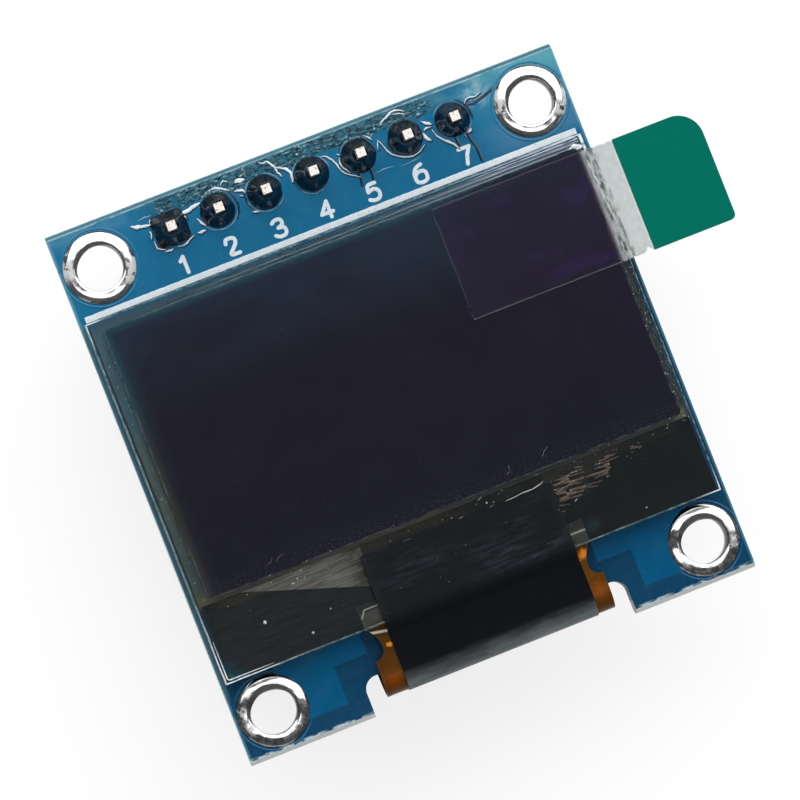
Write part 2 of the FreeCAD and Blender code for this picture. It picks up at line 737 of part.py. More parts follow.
def build_flex_solder_row():
    """Solder joints over the end of the cable's bar, one step-shaped joint repeated."""
    body = new_body("flex_solder_row")
    step = new_sketch(body, "YZ_Plane", offset="-(finger_count - 1) * finger_spacing / 2")
    top = "-flex_thick - finger_thick"
    outline(step, [
        ("bar_end - finger_on_flex", "-flex_thick"),
        ("bar_end - finger_on_flex + finger_thick", top),
        ("bar_end", top),
        ("bar_end + finger_on_board", "-finger_thick"),
        ("bar_end + finger_on_board", "0"),
        ("bar_end", "0"),
        ("bar_end", "-flex_thick"),
    ])
    joint = pad(body, step, "finger_width", symmetric=True)
    repeat(body, [joint], "X_Axis", "finger_spacing", "finger_count")
    place(body, "notch_x")


# The pull strip.


def build_pull_film():
    """Clear strip flat on the polarizer, bent down off the panel and on under the tab."""
    body = new_body("pull_film")
    run = new_sketch(body, "XZ_Plane", offset="-film_y")
    outline(run, [
        ("film_start", "film_z"),
        ("film_bend", "film_z"),
        ("film_bend_end", "film_low"),
        ("tab_x + film_under_tab", "film_low"),
        ("tab_x + film_under_tab", "film_low + film_thick"),
        ("film_bend_end + film_miter", "film_low + film_thick"),
        ("film_bend + film_miter", "film_z + film_thick"),
        ("film_start", "film_z + film_thick"),
    ])
    pad(body, run, "film_width", symmetric=True)


def build_pull_tab():
    """Tab with one large and one small outer corner."""
    body = new_body("pull_tab")
    shape = new_sketch(body)
    low, high = "-film_width / 2", "film_width / 2"
    outline(shape, [
        ("0", low),
        ("tab_length - tab_low_corner", low),
        ("tab_length", f"{low} + tab_low_corner"),
        ("tab_length", f"{high} - tab_corner"),
        ("tab_length - tab_corner", high),
        ("0", high),
    ], arcs={1: ("tab_low_corner", 1), 3: ("tab_corner", 1)})
    pad(body, shape, "tab_thick")
    place(body, "tab_x", "film_y", "tab_z")


# The parts on the back of the board.


def build_chip_part(label, height, x, y):
    """Block with a slightly larger metal end on each side, lying across the row."""
    body = new_body(label)
    core = new_sketch(body, offset="terminal_wrap")
    rectangle(core, "chip_part_length - terminal_length", "chip_part_width - 2 * terminal_wrap")
    pad(body, core, f"{height} - 2 * terminal_wrap")
    end = new_sketch(body)
    end_x = "(chip_part_length - terminal_length) / 2"
    rectangle(end, "terminal_length", "chip_part_width", x=end_x)
    rectangle(end, "terminal_length", "chip_part_width", x=f"-{end_x}")
    pad(body, end, height)
    place(body, x, y, turned_over=True, quarter_turns=1)


def build_regulator_body():
    """Moulded body that tapers up and down from the plane of its leads."""
    body = new_body("regulator_body")
    for half_up in (True, False):
        middle = new_sketch(body, offset="regulator_lift + regulator_height / 2")
        rectangle(middle, "regulator_length", "regulator_width")
        half = pad(body, middle, "regulator_height / 2", down=not half_up)
        bind(half, TaperAngle="-regulator_draft")
    place(body, "regulator_x", "regulator_y", turned_over=True)


def build_regulator_lead(label, along, side):
    """Gull-wing lead: out of the body, down and out again to a flat foot."""
    body = new_body(label)
    wing = new_sketch(body, "YZ_Plane")
    inner, outer = "lead_bend", "(lead_bend + lead_thick)"
    knee_in, knee_out = "lead_knee", "lead_knee + lead_thick"
    outline(wing, [
        ("regulator_width / 2", "lead_top"),
        ("regulator_width / 2", "lead_top - lead_thick"),
        (f"{knee_in} - {inner}", "lead_top - lead_thick"),
        (knee_in, f"lead_top - lead_thick - {inner}"),
        (knee_in, outer),
        (f"{knee_in} + {outer}", "0"),
        ("lead_end", "0"),
        ("lead_end", "lead_thick"),
        (f"{knee_out} + {inner}", "lead_thick"),
        (knee_out, f"lead_thick + {inner}"),
        (knee_out, f"lead_top - {outer}"),
        (f"{knee_out} - {outer}", "lead_top"),
    ], arcs={2: (inner, -1), 4: (outer, 1), 8: (inner, -1), 10: (outer, 1)})
    pad(body, wing, "lead_width", symmetric=True)
    half_turns = 0 if side > 0 else 2
    place(body, f"regulator_x + {along}", "regulator_y", turned_over=True, quarter_turns=half_turns)


def row_place(index, count, spacing):
    """Place of one of a row of parts about the middle of the row, as a formula."""
    return f"({index} - ({count} - 1) / 2) * {spacing}"


def build_all():
    build_pcb()
    corners = [(x, y) for y in ("hole_y", "-hole_y") for x in ("-hole_x", "hole_x")]
    for index, (x, y) in enumerate(corners, start=1):
        build_hole_plating(f"hole_plating_{index}", x, y)

    build_header_housing()
    for index in range(round(number("pin_count"))):
        pin_x = f"first_pin_x + {index} * pin_spacing"
        build_solder_joint(f"solder_joint_{index + 1}", pin_x, square_pad=index == 0)
        build_header_pin(f"header_pin_{index + 1}", pin_x)

    build_panel_adhesive()
    build_cap_glass()
    build_desiccant_sheet()
    build_seal_bead()
    build_emitter_layer()
    build_substrate_glass()
    build_polarizer()
    build_driver_chip()

    build_flex_cable()
    build_light_shield_tape()
    build_flex_solder_row()
    build_pull_film()
    build_pull_tab()

    build_regulator_body()
    build_regulator_lead("regulator_lead_1", "-lead_spacing", side=1)
    build_regulator_lead("regulator_lead_2", "lead_spacing", side=1)
    build_regulator_lead("regulator_lead_3", "0", side=-1)
    for index in range(round(number("capacitor_count"))):
        x = row_place(index, "capacitor_count", "capacitor_spacing")
        build_chip_part(f"capacitor_{index + 1}", "capacitor_height", x, "capacitor_y")
    for index in range(round(number("resistor_count"))):
        x = f"resistor_x + {index} * resistor_spacing"
        build_chip_part(f"resistor_{index + 1}", "resistor_height", x, "resistor_y")


def check_and_write():
    """Stops on any failed object or empty shape, then writes one file for each sub-part."""
    doc.recompute()
    for item in doc.Objects:
        if {"Invalid", "Error"} & set(item.State):
            raise RuntimeError(f"{item.Label} failed: {item.State}")
    for part in SUBPARTS:
        if part.Shape.isNull() or not part.Shape.isValid():
            raise RuntimeError(f"{part.Label} has no valid shape")
    os.makedirs("parts", exist_ok=True)
    for part in SUBPARTS:
        part.Shape.exportStep(f"parts/{part.Label}.step")


build_all()
check_and_write()
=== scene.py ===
import math
import random

import bmesh
import bpy
import numpy as np
from mathutils import Matrix, Vector
from mathutils.geometry import tessellate_polygon


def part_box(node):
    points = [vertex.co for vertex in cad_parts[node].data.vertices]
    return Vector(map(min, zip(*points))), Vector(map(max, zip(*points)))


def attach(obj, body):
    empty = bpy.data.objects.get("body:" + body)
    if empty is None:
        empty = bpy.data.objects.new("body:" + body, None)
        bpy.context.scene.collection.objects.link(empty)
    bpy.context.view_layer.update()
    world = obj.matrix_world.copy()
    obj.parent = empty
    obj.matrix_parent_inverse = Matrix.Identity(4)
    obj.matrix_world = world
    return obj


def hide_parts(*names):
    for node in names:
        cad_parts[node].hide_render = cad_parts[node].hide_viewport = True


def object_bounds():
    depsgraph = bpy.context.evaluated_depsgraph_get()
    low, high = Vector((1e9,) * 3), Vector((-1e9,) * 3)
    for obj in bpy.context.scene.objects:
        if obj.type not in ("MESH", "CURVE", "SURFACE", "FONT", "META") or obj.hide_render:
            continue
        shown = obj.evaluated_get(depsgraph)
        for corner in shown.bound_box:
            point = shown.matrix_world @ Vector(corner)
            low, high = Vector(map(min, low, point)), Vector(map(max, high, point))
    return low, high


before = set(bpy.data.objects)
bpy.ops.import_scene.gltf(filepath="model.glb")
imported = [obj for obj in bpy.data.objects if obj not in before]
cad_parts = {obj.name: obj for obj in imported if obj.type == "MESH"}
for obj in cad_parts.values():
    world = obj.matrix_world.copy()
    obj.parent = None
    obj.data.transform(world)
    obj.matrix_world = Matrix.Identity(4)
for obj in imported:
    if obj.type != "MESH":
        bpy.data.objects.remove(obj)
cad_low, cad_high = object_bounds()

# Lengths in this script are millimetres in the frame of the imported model.
MM = 0.001


def box(node):
    """Lowest and highest corner of a node of the frame."""
    low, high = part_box(node)
    return np.array(low) / MM, np.array(high) / MM


def centre(node):
    """The middle of a node's box."""
    low, high = box(node)
    return (low + high) / 2


def nodes_like(start):
    """The frame's nodes whose names start so, in order."""
    return sorted(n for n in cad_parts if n.startswith(start))


PCB_LOW, PCB_HIGH = box("pcb")
GLASS_LOW, GLASS_HIGH = box("substrate_glass")
CAP_LOW, _ = box("cap_glass")
POLARIZER_LOW, POLARIZER_HIGH = box("polarizer")
TAPE_LOW, TAPE_HIGH = box("light_shield_tape")
FILM_LOW, FILM_HIGH = box("pull_film")
TAB_LOW, _ = box("pull_tab")
PIN_LOW, PIN_HIGH = box("header_pin_1")
PINS = [centre(n) for n in nodes_like("header_pin_")]
HOLES = nodes_like("hole_plating_")
CHIPS = nodes_like("capacitor_") + nodes_like("resistor_")
BOARD_TOP, BOARD_BACK = PCB_HIGH[2], PCB_LOW[2]
PIN_ROW = PINS[0][1]
PIN_HALF = (PIN_HIGH[0] - PIN_LOW[0]) / 2
# How deep a raised line on the glass is sunk into it
SUNK = 0.001
ON_GLASS = GLASS_HIGH[2] - SUNK


# Meshes

def sides_of(corners):
    """The sides of a closed outline, as pairs of corners."""
    return list(zip(corners, corners[1:] + corners[:1]))


def rectangle(x0, y0, x1, y1):
    return [(x0, y0), (x1, y0), (x1, y1), (x0, y1)]


def divided(a, b, step):
    """Points evenly along the straight line from a to b, about a step apart."""
    steps = int(math.dist(a, b) / step)
    return [(a[0] + (b[0] - a[0]) * k / steps, a[1] + (b[1] - a[1]) * k / steps) for k in range(steps + 1)]


def on_circle(middle, radius, angles):
    return [(middle[0] + radius * math.cos(a), middle[1] + radius * math.sin(a)) for a in angles]


def chaikin(points, times):
    """A rounder line through the middle of another one's corners."""
    points = [np.array(p, float) for p in points]
    for _ in range(times):
        cut = [q for a, b in zip(points, points[1:]) for q in (0.75 * a + 0.25 * b, 0.25 * a + 0.75 * b)]
        points = [points[0]] + cut[1:-1] + [points[-1]]
    return points


def quads(rows, across, ring=False, closed=False, turned=False):
    """Faces of a grid of points given row by row. It may join the last row to the first and each row's ends."""
    faces = []
    for r in range(rows if ring else rows - 1):
        for k in range(across if closed else across - 1):
            here, after = r * across, (r + 1) % rows * across
            a, b, c, d = here + k, after + k, after + (k + 1) % across, here + (k + 1) % across
            faces.append((a, d, c, b) if turned else (a, b, c, d))
    return faces


def flipped(faces):
    return [tuple(reversed(f)) for f in faces]


def joined(parts):
    """Several (points, faces) as one."""
    points, faces = [], []
    for more_points, more_faces in parts:
        start = len(points)
        points.extend(more_points)
        faces.extend([tuple(i + start for i in f) for f in more_faces])
    return points, faces


def unit(way):
    return way / max(np.linalg.norm(way), 1e-9)


def round_end(p, q, half, slope, base, height, steps=8):
    """The half round end of a ribbon at p, whose next point is q."""
    turn = math.atan2(*unit(p - q)[::-1])
    points = []
    for k in range(steps + 1):
        a = turn - math.pi / 2 + math.pi * k / steps
        for reach, z in ((half, 0), (half - slope, height)):
            points.append((p[0] + reach * math.cos(a), p[1] + reach * math.sin(a), base + z))
    return points, quads(steps + 1, 2) + [tuple(range(1, 2 * steps + 2, 2))]


def ribbon(line, width, base, height, closed=False):
    """A low raised line with sloping flanks and round ends, lying at z = base. A negative height hangs
    below it. The width may change from point to point."""
    line = [np.array(p[:2], float) for p in line]
    count = len(line)
    halves = np.broadcast_to(np.array(width, float) / 2, count)
    slopes = np.minimum(abs(height), 0.6 * halves)
    points = []
    for i, (p, half, slope) in enumerate(zip(line, halves, slopes)):
        before = line[i - 1] if i or closed else p
        after = line[(i + 1) % count] if i < count - 1 or closed else p
        way = unit(after - before)
        side = np.array([-way[1], way[0]])
        for reach, z in ((-half, 0), (-half + slope, height), (half - slope, height), (half, 0)):
            points.append((*(p + side * reach), base + z))
    parts = [(points, quads(count, 4, ring=closed))]
    if not closed:
        parts += [round_end(line[end], line[inner], halves[end], slopes[end], base, height)
                  for end, inner in ((0, 1), (-1, -2))]
    points, faces = joined(parts)
    return points, flipped(faces) if height < 0 else faces


def slab(outline, base, height, bevel=0.03):
    """A flat raised shape with sloping flanks, its outline given anticlockwise."""
    outline = [np.array(p, float) for p in outline]
    count = len(outline)
    inner = []
    for i, p in enumerate(outline):
        before, after = unit(p - outline[i - 1]), unit(outline[(i + 1) % count] - p)
        left = unit(np.array([-before[1] - after[1], before[0] + after[0]]))
        spread = max(0.35, left @ np.array([-before[1], before[0]]))
        inner.append(p + left * bevel / spread)
    points = [(*p, base) for p in outline] + [(*p, base + height) for p in inner]
    top = tessellate_polygon([[Vector((*p, 0)) for p in inner]])
    faces = quads(2, count, closed=True, turned=True) + [tuple(count + i for i in f) for f in top]
    return points, flipped(faces) if height < 0 else faces


def block(low, high, bevel, segments=2):
    """A box with rounded edges."""
    form = bmesh.new()
    low, high = np.array(low, float), np.array(high, float)
    bmesh.ops.create_cube(form, size=1.0)
    for v in form.verts:
        v.co = Vector((low + high) / 2 + np.array(v.co) * (high - low))
    bmesh.ops.bevel(form, geom=form.edges[:], offset=bevel, segments=segments, profile=0.5, affect="EDGES")
    form.verts.index_update()
    points = [tuple(v.co) for v in form.verts]
    faces = [tuple(v.index for v in f.verts) for f in form.faces]
    form.free()
    return points, faces


def height_field(x_range, y_range, step, height):
    """A sheet of small squares whose height is a function of arrays x and y."""
    xs, ys = (np.linspace(a, b, int(round((b - a) / step)) + 1) for a, b in (x_range, y_range))
    x, y = np.meshgrid(xs, ys)
    points = np.stack([x.ravel(), y.ravel(), height(x, y).ravel()], 1)
    return points.tolist(), quads(len(ys), len(xs), turned=True)


def waves(x, y, size, seed, octaves=3):
    """Smooth seeded irregularity between about -1 and 1, with features of about that size."""
    dice = np.random.RandomState(seed)
    total = np.zeros_like(x, dtype=float)
    for octave in range(octaves):
        for _ in range(7):
            angle = dice.uniform(0, 2 * math.pi)
            pitch = size / 1.9 ** octave * dice.uniform(0.7, 1.4)
            phase = dice.uniform(0, 2 * math.pi)
            way = x * math.cos(angle) + y * math.sin(angle)
            total += np.sin(2 * math.pi * way / pitch + phase) * 0.26 / 1.7 ** octave
    return total


def bumps(x, y, size, share, seed):
    """Round grains of about that size over a share of the area, from 0 to 1."""
    cell_x, cell_y = np.floor(x / size).astype(int), np.floor(y / size).astype(int)
    best = np.zeros_like(x, dtype=float)
    for dx in (-1, 0, 1):
        for dy in (-1, 0, 1):
            i, j = cell_x + dx, cell_y + dy
            code = (i * 73856093 ^ j * 19349663 ^ seed * 83492791) & 0xFFFFFF
            u, v, w = code % 1009 / 1009.0, code // 1009 % 997 / 997.0, code // 7 % 991 / 991.0
            reach = size * (0.35 + 0.5 * (code // 13 % 883) / 883.0)
            away = np.hypot(x - (i + u) * size, y - (j + v) * size) / reach
            best = np.maximum(best, np.where(w < share, np.clip(1 - away ** 2, 0, 1), 0))
    return best


def make(name, parts, look, smooth=True, replaces=None):
    """A piece of the object from (points, faces) in millimetres, riding on the frame's body."""
    points, faces = joined(parts)
    mesh = bpy.data.meshes.new(name)
    mesh.from_pydata([tuple(float(c) * MM for c in p) for p in points], [], faces)
    mesh.validate()
    mesh.materials.append(look.material)
    for face in mesh.polygons:
        face.use_smooth = smooth
    thing = bpy.data.objects.new(name, mesh)
    bpy.context.scene.collection.objects.link(thing)
    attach(thing, "root")
    if replaces:
        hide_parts(replaces)
    return thing


# Materials

def paint(colour):
    """A screen colour in hexadecimal as the renderer's own numbers. A colour given in those is passed on."""
    if isinstance(colour, str):
        parts = bytes.fromhex(colour)
        return tuple(((c / 255 + 0.055) / 1.055) ** 2.4 if c > 10 else c / 3294.6 for c in parts)
    return colour


class Field:
    """A number or colour that changes over a surface. Numbers add, subtract and multiply, and a | b is the
    larger one."""

    def __init__(self, graph, socket):
        self.graph, self.socket = graph, socket

    def __add__(self, other):
        return self.graph.maths("ADD", self, other)

    def __sub__(self, other):
        return self.graph.maths("SUBTRACT", self, other)

    def __mul__(self, other):
        return self.graph.maths("MULTIPLY", self, other)

    def __or__(self, other):
        return self.graph.maths("MAXIMUM", self, other)

    def __abs__(self):
        return self.graph.maths("ABSOLUTE", self)

    def step(self, start, end, low=0.0, high=1.0):
        """Low before start and high after end, with a smooth step between them."""
        if end < start:
            start, end, low, high = end, start, high, low
        return self.graph.node("MapRange", {"Value": self, "From Min": start, "From Max": end, "To Min": low,
                                           "To Max": high}, interpolation_type="SMOOTHSTEP")

    def within(self, start, end, soft=0.1):
        """1 between two values."""
        return self.step(start - soft, start + soft) * self.step(end + soft, end - soft)

    def stripes(self, pitch, duty=0.5, soft=0.15):
        """Lines at that pitch, 1 on the line and 0 between."""
        saw = self.graph.maths("FRACT", self.graph.maths("DIVIDE", self, pitch))
        return abs(saw - 0.5).step(duty / 2 + soft, duty / 2 - soft)

    def mix(self, first, second):
        """The first colour where this field is 0 and the second where it is 1."""
        return self.graph.node("Mix", {"Factor": self, "A": first, "B": second}, "Result", data_type="RGBA")


class Graph:
    """The nodes of a material or of the world."""

    def __init__(self, tree):
        self.tree = tree

    def put(self, socket, value):
        if isinstance(value, Field):
            self.tree.links.new(value.socket, socket)
        else:
            socket.default_value = (*paint(value), 1.0) if socket.type == "RGBA" else value

    def node(self, kind, inputs=(), output=0, **settings):
        """One output of a new shader node."""
        node = self.tree.nodes.new("ShaderNode" + kind)
        for key, value in settings.items():
            setattr(node, key, value)
        for key, value in dict(inputs).items():
            self.put(node.inputs[key], value)
        return Field(self, node.outputs[output])

    def maths(self, operation, first, second=0.0):
        return self.node("Math", {0: first, 1: second}, operation=operation)


class Look(Graph):
    """A procedural material. Its patterns lie in the frame, in millimetres."""

    SOCKETS = {"colour": "Base Color", "rough": "Roughness", "metal": "Metallic", "ior": "IOR",
               "specular": "Specular IOR Level", "clear": "Transmission Weight", "normal": "Normal"}

    def __init__(self, name, colour, rough=0.4, metal=0.0, **more):
        self.material = bpy.data.materials.new(name)
        self.material.use_nodes = True
        super().__init__(self.material.node_tree)
        self.normal = None
        self.set(colour=colour, rough=rough, metal=metal, **more)
        self.at = self.node("VectorMath", {0: self.node("TexCoord", output="Object"), "Scale": 1 / MM},
                            operation="SCALE")
        self.x, self.y, self.z = (self.node("SeparateXYZ", {0: self.at}, letter) for letter in "XYZ")

    def set(self, **values):
        """Set or drive the shader's own sockets."""
        for key, value in values.items():
            self.put(self.tree.nodes["Principled BSDF"].inputs[self.SOCKETS[key]], value)

    def facing(self):
        """How far the surface faces up the Z axis."""
        return self.node("SeparateXYZ", {0: self.node("NewGeometry", output="Normal")}, "Z")

    def noise(self, size, detail=2, stretch=(1, 1, 1), shift=(0, 0, 0), turn=0.0, rough=0.5):
        place = self.node("Mapping", {"Vector": self.at, "Rotation": (0, 0, turn), "Location": shift,
                                      "Scale": [1 / s for s in stretch]})
        values = {"Vector": place, "Scale": 1 / size, "Detail": detail, "Roughness": rough}
        return self.node("TexNoise", values)

    def away(self, x, y):
        """Distance from a place seen from the front."""
        dx, dy = self.x - x, self.y - y
        return self.maths("SQRT", dx * dx + dy * dy)

    def spot(self, x, y, radius):
        """1 at a place seen from the front, fading to 0 a radius away."""
        return self.away(x, y).step(radius, 0.0)

    def relief(self, height, depth):
        """Bump from a 0 to 1 height, depth millimetres deep, over the bumps so far."""
        below = {"Normal": self.normal} if self.normal else {}
        self.normal = self.node("Bump", {"Distance": depth * MM, "Strength": 1.0, "Height": height, **below})
        self.set(normal=self.normal)

    def grain(self, *grains):
        """Even bumps, given as size, detail and depth of each layer."""
        for size, detail, depth in grains:
            self.relief(self.noise(size, detail), depth)
        return self

    def gloss(self, size, detail, low, high):
        """Roughness that wanders between two values."""
        self.set(rough=self.noise(size, detail).step(0.3, 0.7, low, high))


def mottled(name, colour, size, detail, first, second, rough=0.4, grains=(), **more):
    """A look with a cloudy colour and even bumps."""
    look = Look(name, colour, rough, **more)
    look.set(colour=look.noise(size, detail).mix(first, second))
    return look.grain(*grains)


# The board: its mask, fibre and copper

def painted_sheen_on_board(look, colour):
    """Painted reflection of the light in the glossy mask: a pale sheen along the board's top edge, in its upper
    right corner and below that corner.
    """
    top_sheen = look.y.step(PIN_ROW + 0.5, PCB_HIGH[1] - 0.2)
    top_sheen = top_sheen * look.noise(0.8, 4, (2.0, 1, 1), (4, 0, 0), turn=-0.3).step(0.34, 0.62)
    colour = (top_sheen * look.x.step(-9.0, 3.0, 0.35, 0.8)).mix(colour, "70a6b6")
    corner = look.x.step(7.0, 12.5) * look.y.step(10.4, 14.0)
    colour = (corner * 0.75).mix(colour, "5ca6b2")
    below = look.x.step(8.0, 10.5) * look.y.within(9.9, 11.4, 0.4)
    return (below * 0.3).mix(colour, "7094b0")


def board_colour(look):
    """Blue solder mask: deeper low on the board and lighter towards its top as a painted reflection, with a
    painted sheen along its top edge.
    """
    cloud = look.noise(2.4, 3)
    weave = look.x.stripes(0.46, 0.5, 0.3) * look.y.stripes(0.46, 0.5, 0.3)
    # The upper board is painted lighter: a painted reflection of the light.
    upper = look.y.step(2.0, 10.5)
    colour = upper.mix(cloud.mix("023254", "084264"), cloud.mix("0a5e88", "186e98"))
    colour = painted_sheen_on_board(look, colour)
    sides = abs(look.x).step(PCB_HIGH[0] - 0.16, PCB_HIGH[0] - 0.03) * look.y.step(-5.0, 6.0, 0.45, 0.65)
    colour = sides.mix(colour, "68a4b8")
    strip = look.x.within(-8.6, 7.2, 0.7) * look.y.step(PIN_ROW + 0.45, PIN_ROW + 0.95)
    behind = look.noise(0.35, 4, (2, 1, 1), turn=-0.4).mix("003a52", "1e6c80")
    colour = (strip * 0.8).mix(colour, behind)
    beside = look.x.step(-13.35, -13.50) * look.y.within(-10.5, 9.5, 0.4)
    colour = (beside * 0.45).mix(colour, "54848e")
    pale = look.away(9.2, 13.3).step(1.0, 0.3) * look.noise(0.4, 4, shift=(2, 6, 0)).step(0.36, 0.60)
    colour = (pale * 0.7).mix(colour, "96bac6")
    colour = (weave * upper.step(0, 1, 0.03, 0.08)).mix(colour, "2882a0")
    return (look.noise(0.22, 3) * upper.step(0, 1, 0.06, 0.16)).mix(colour, "3c8caa")


def mask_relief(look):
    look.grain((0.5, 3, 0.003), (0.09, 2, 0.0005))
    look.gloss(0.7, 4, 0.10, 0.18)


def cut_fibre(look, tufts):
    """The board's cut edges: bare fibre, stained on the header's side, darker inside the drilled holes."""
    fibre = look.noise(0.5, 4, (1, 1, 0.09)).mix("dee6e2", "fefffe")
    fibre = (tufts * 0.35).mix(fibre, "a4c0c0")
    stained = look.noise(0.5, 3, (3, 1, 1)).mix("1a546a", "46808c")
    rim = look.z.step(BOARD_TOP - 0.05, BOARD_TOP - 0.01) | look.z.step(BOARD_TOP - 0.26, BOARD_TOP - 0.36)
    stained = (rim * tufts.step(0.3, 0.6, 0.2, 0.8)).mix(stained, "b0ced0")
    header_side = look.y.step(-1.0, 1.0) * look.z.step(BOARD_TOP - 0.40, BOARD_TOP - 0.34)
    drilled = look.x.within(-13.2, 13.2, 0.02) * look.y.within(-13.4, 13.6, 0.02)
    return (drilled * 0.5).mix(header_side.mix(fibre, stained), "466e6e")


def board_look():
    """Blue mask on the faces, bare fibre on the cut edges, and a pale ragged line where the mask ends."""
    look = Look("board_blue_mask", "0a547c", 0.14, specular=0.4)
    tufts = look.noise(0.13, 4, (1.6, 1.0, 0.5))
    cut = abs(look.facing()).step(0.95, 0.85)
    torn = look.y.step(PCB_LOW[1] + 0.40, PCB_LOW[1] + 0.20)
    torn = torn * look.noise(0.22, 5, (2.2, 1, 1)).step(0.40, 0.60)
    scraped = look.y.step(PCB_HIGH[1] - 0.30, PCB_HIGH[1] - 0.24)
    scraped = scraped * look.noise(0.3, 4, (3, 1, 1)).step(0.40, 0.60)
    ragged = torn | scraped * 0.6
    colour = ragged.mix(board_colour(look), tufts.mix("96c0d0", "e8f0f0"))
    look.set(colour=cut.mix(colour, cut_fibre(look, tufts)))
    mask_relief(look)
    look.set(rough=cut.mix(look.noise(0.7, 4).step(0.3, 0.7, 0.10, 0.18), (0.8, 0.8, 0.8)))
    look.relief((cut | ragged) * tufts, 0.05)
    return look


def copper_under_mask_look():
    look = Look("copper_under_mask", "045680", 0.14, specular=0.4)
    cloud = look.noise(1.8, 3)
    low, high = cloud.mix("004a70", "005c88"), cloud.mix("166a94", "287ca4")
    # Lighter towards the board's top: a painted reflection, as on the mask.
    look.set(colour=look.y.step(2.0, 10.5).mix(low, high))
    mask_relief(look)
    return look


def dark_gap_and_shadow_look():
    # Dark blue of bare laminate in the clearances, also used for the painted shadows under the flux runs and
    # the dark arcs round the joints.
    look = mottled("bare_laminate_gap_and_shadow", "082842", 0.3, 3, "041e34", "0e3854", 0.25)
    mask_relief(look)
    return look


def ink_look():
    look = Look("white_ink", "e2ecf0", 0.55)
    wear = look.noise(0.12, 4).step(0.56, 0.72)
    tone = look.noise(0.5, 2).mix("cee0ea", "f0f6f8")
    look.set(colour=(wear * 0.5).mix(tone, "78a4b8"))
    return look.grain((0.08, 3, 0.006))


# Flux, tin and solder

def flux_look():
    """Flux crust over the upper board: dark teal, streaked with lighter grains, with pale flecks that are
    painted glints of the light.
    """
    look = Look("flux_crust", "145a70", 0.2, specular=0.3)
    grain = look.noise(0.13, 4, (1.9, 0.8, 1), turn=-0.5, rough=0.7)
    # pale: painted glints on the crust's grains.
    pale = look.noise(0.17, 4, (1.7, 0.8, 1), (3, 5, 0), turn=-0.4, rough=0.7).step(0.55, 0.66)
    pale = pale * look.noise(1.1, 3, shift=(1, 2, 0)).step(0.36, 0.60, 0.25, 0.85)
    colour = grain.step(0.40, 0.60).mix("002638", "125c6e")
    colour = pale.mix(colour, "a6ccd4")
    crust = look.z.step(BOARD_TOP + 0.002, BOARD_TOP + 0.012)
    look.set(colour=crust.mix(board_colour(look), colour), rough=grain.step(0.3, 0.7, 0.10, 0.30))
    return look.grain((0.07, 3, 0.010))


def flux_runs_highlight_look():
    """Flux drawn out in thin runs between the joints, painted whitish as highlights of the light on their
    ridges.
    """
    look = Look("flux_drawn_painted_highlight", "c8dce8", 0.25)
    tone = look.noise(0.3, 3).mix("c8deea", "fafcfe")
    thin = look.noise(0.22, 4, shift=(2, 1, 0)).step(0.56, 0.70)
    look.set(colour=(thin * 0.4).mix(tone, "609cb8"))
    return look.grain((0.08, 3, 0.010))


def faint_flux_highlight_look():
    """Thin rims of flux round the joints, painted bluish-pale as faint highlights of the light."""
    return mottled("flux_rim", "6ea0b6", 0.4, 3, "407c9a", "a8c4d4", 0.2,
                   grains=[(0.08, 3, 0.008)])


def tin_look():
    """Bright tin with dull spots; painted shade mottles the lower half of the lower rings and darkens the
    barrels in the holes, and pale matte patches at the rings' sides are painted highlights.
    """
    look = Look("tinned_copper", (0.80, 0.80, 0.81), 0.12, 1.0)
    tone = look.noise(0.8, 3, shift=(7, 3, 0)).mix((0.88, 0.88, 0.89), (0.76, 0.76, 0.78))
    spots = look.noise(0.20, 4, rough=0.65).step(0.56, 0.68)
    tone = (spots * 0.40).mix(tone, (0.36, 0.33, 0.32))
    ragged = (look.noise(0.45, 4, rough=0.6) - 0.5) * 0.8
    # Pale matte patches at the rings' sides: painted highlights where the lamps leave the tin dark.
    side_highlights = []
    for number, node in enumerate(HOLES):
        x, y, _ = centre(node)
        ring = look.away(x, y).step(2.2, 2.1)
        above = look.x * UP_SLOPE.x + look.y * UP_SLOPE.y - (UP_SLOPE.x * x + UP_SLOPE.y * y) + ragged
        if y > 0:
            side_highlights.append(abs(above).step(0.95, 0.45) * ring)
        else:
            reach = -1.62 if x < 0 else 1.40
            beside = look.away(x + reach * SIDE_SLOPE.x, y + reach * SIDE_SLOPE.y)
            side_highlights.append((beside + ragged).step(0.45, 0.15))
            # Lower rings: mottled painted shade over their lower half.
            dull = ring * look.noise(0.30, 4, rough=0.65, shift=(number, 0, 0)).step(0.40, 0.60)
            tone = (dull * above.step(0.9, 0.3) * 0.8).mix(tone, (0.34, 0.33, 0.34))
    side_highlight = side_highlights[0]
    for more in side_highlights[1:]:
        side_highlight = side_highlight | more
    side_highlight = side_highlight * look.noise(0.35, 4, shift=(5, 1, 0)).step(0.62, 0.50)
    for x, y, _ in map(centre, HOLES):
        side_highlight = side_highlight * look.away(x, y).step(1.28, 1.40)
    # The barrels inside the holes are painted dark: painted shade.
    barrel = look.z.within(BOARD_BACK + 0.1, BOARD_TOP + 0.02, 0.03)
    look.set(colour=barrel.mix(tone, (0.12, 0.11, 0.10)), metal=side_highlight.step(0, 1, 1.0, 0.25))
    look.gloss(0.35, 4, 0.10, 0.22)
    return look.grain((0.6, 2, 0.004), (0.12, 3, 0.0008))


def solder_look():
    look = Look("solder", (0.12, 0.12, 0.13), 0.16, 1.0)
    film = look.noise(0.5, 3, (1, 1, 2)).step(0.44, 0.66)
    top = look.z.step(BOARD_TOP + 0.3, BOARD_TOP + 1.0)
    tone = look.noise(0.25, 3).mix((0.055, 0.060, 0.070), (0.12, 0.12, 0.13))
    look.set(colour=(film * (top * 0.5)).mix(tone, (0.17, 0.13, 0.10)))
    look.gloss(0.3, 3, 0.10, 0.24)
    return look.grain((0.5, 2, 0.008), (0.06, 2, 0.0008))


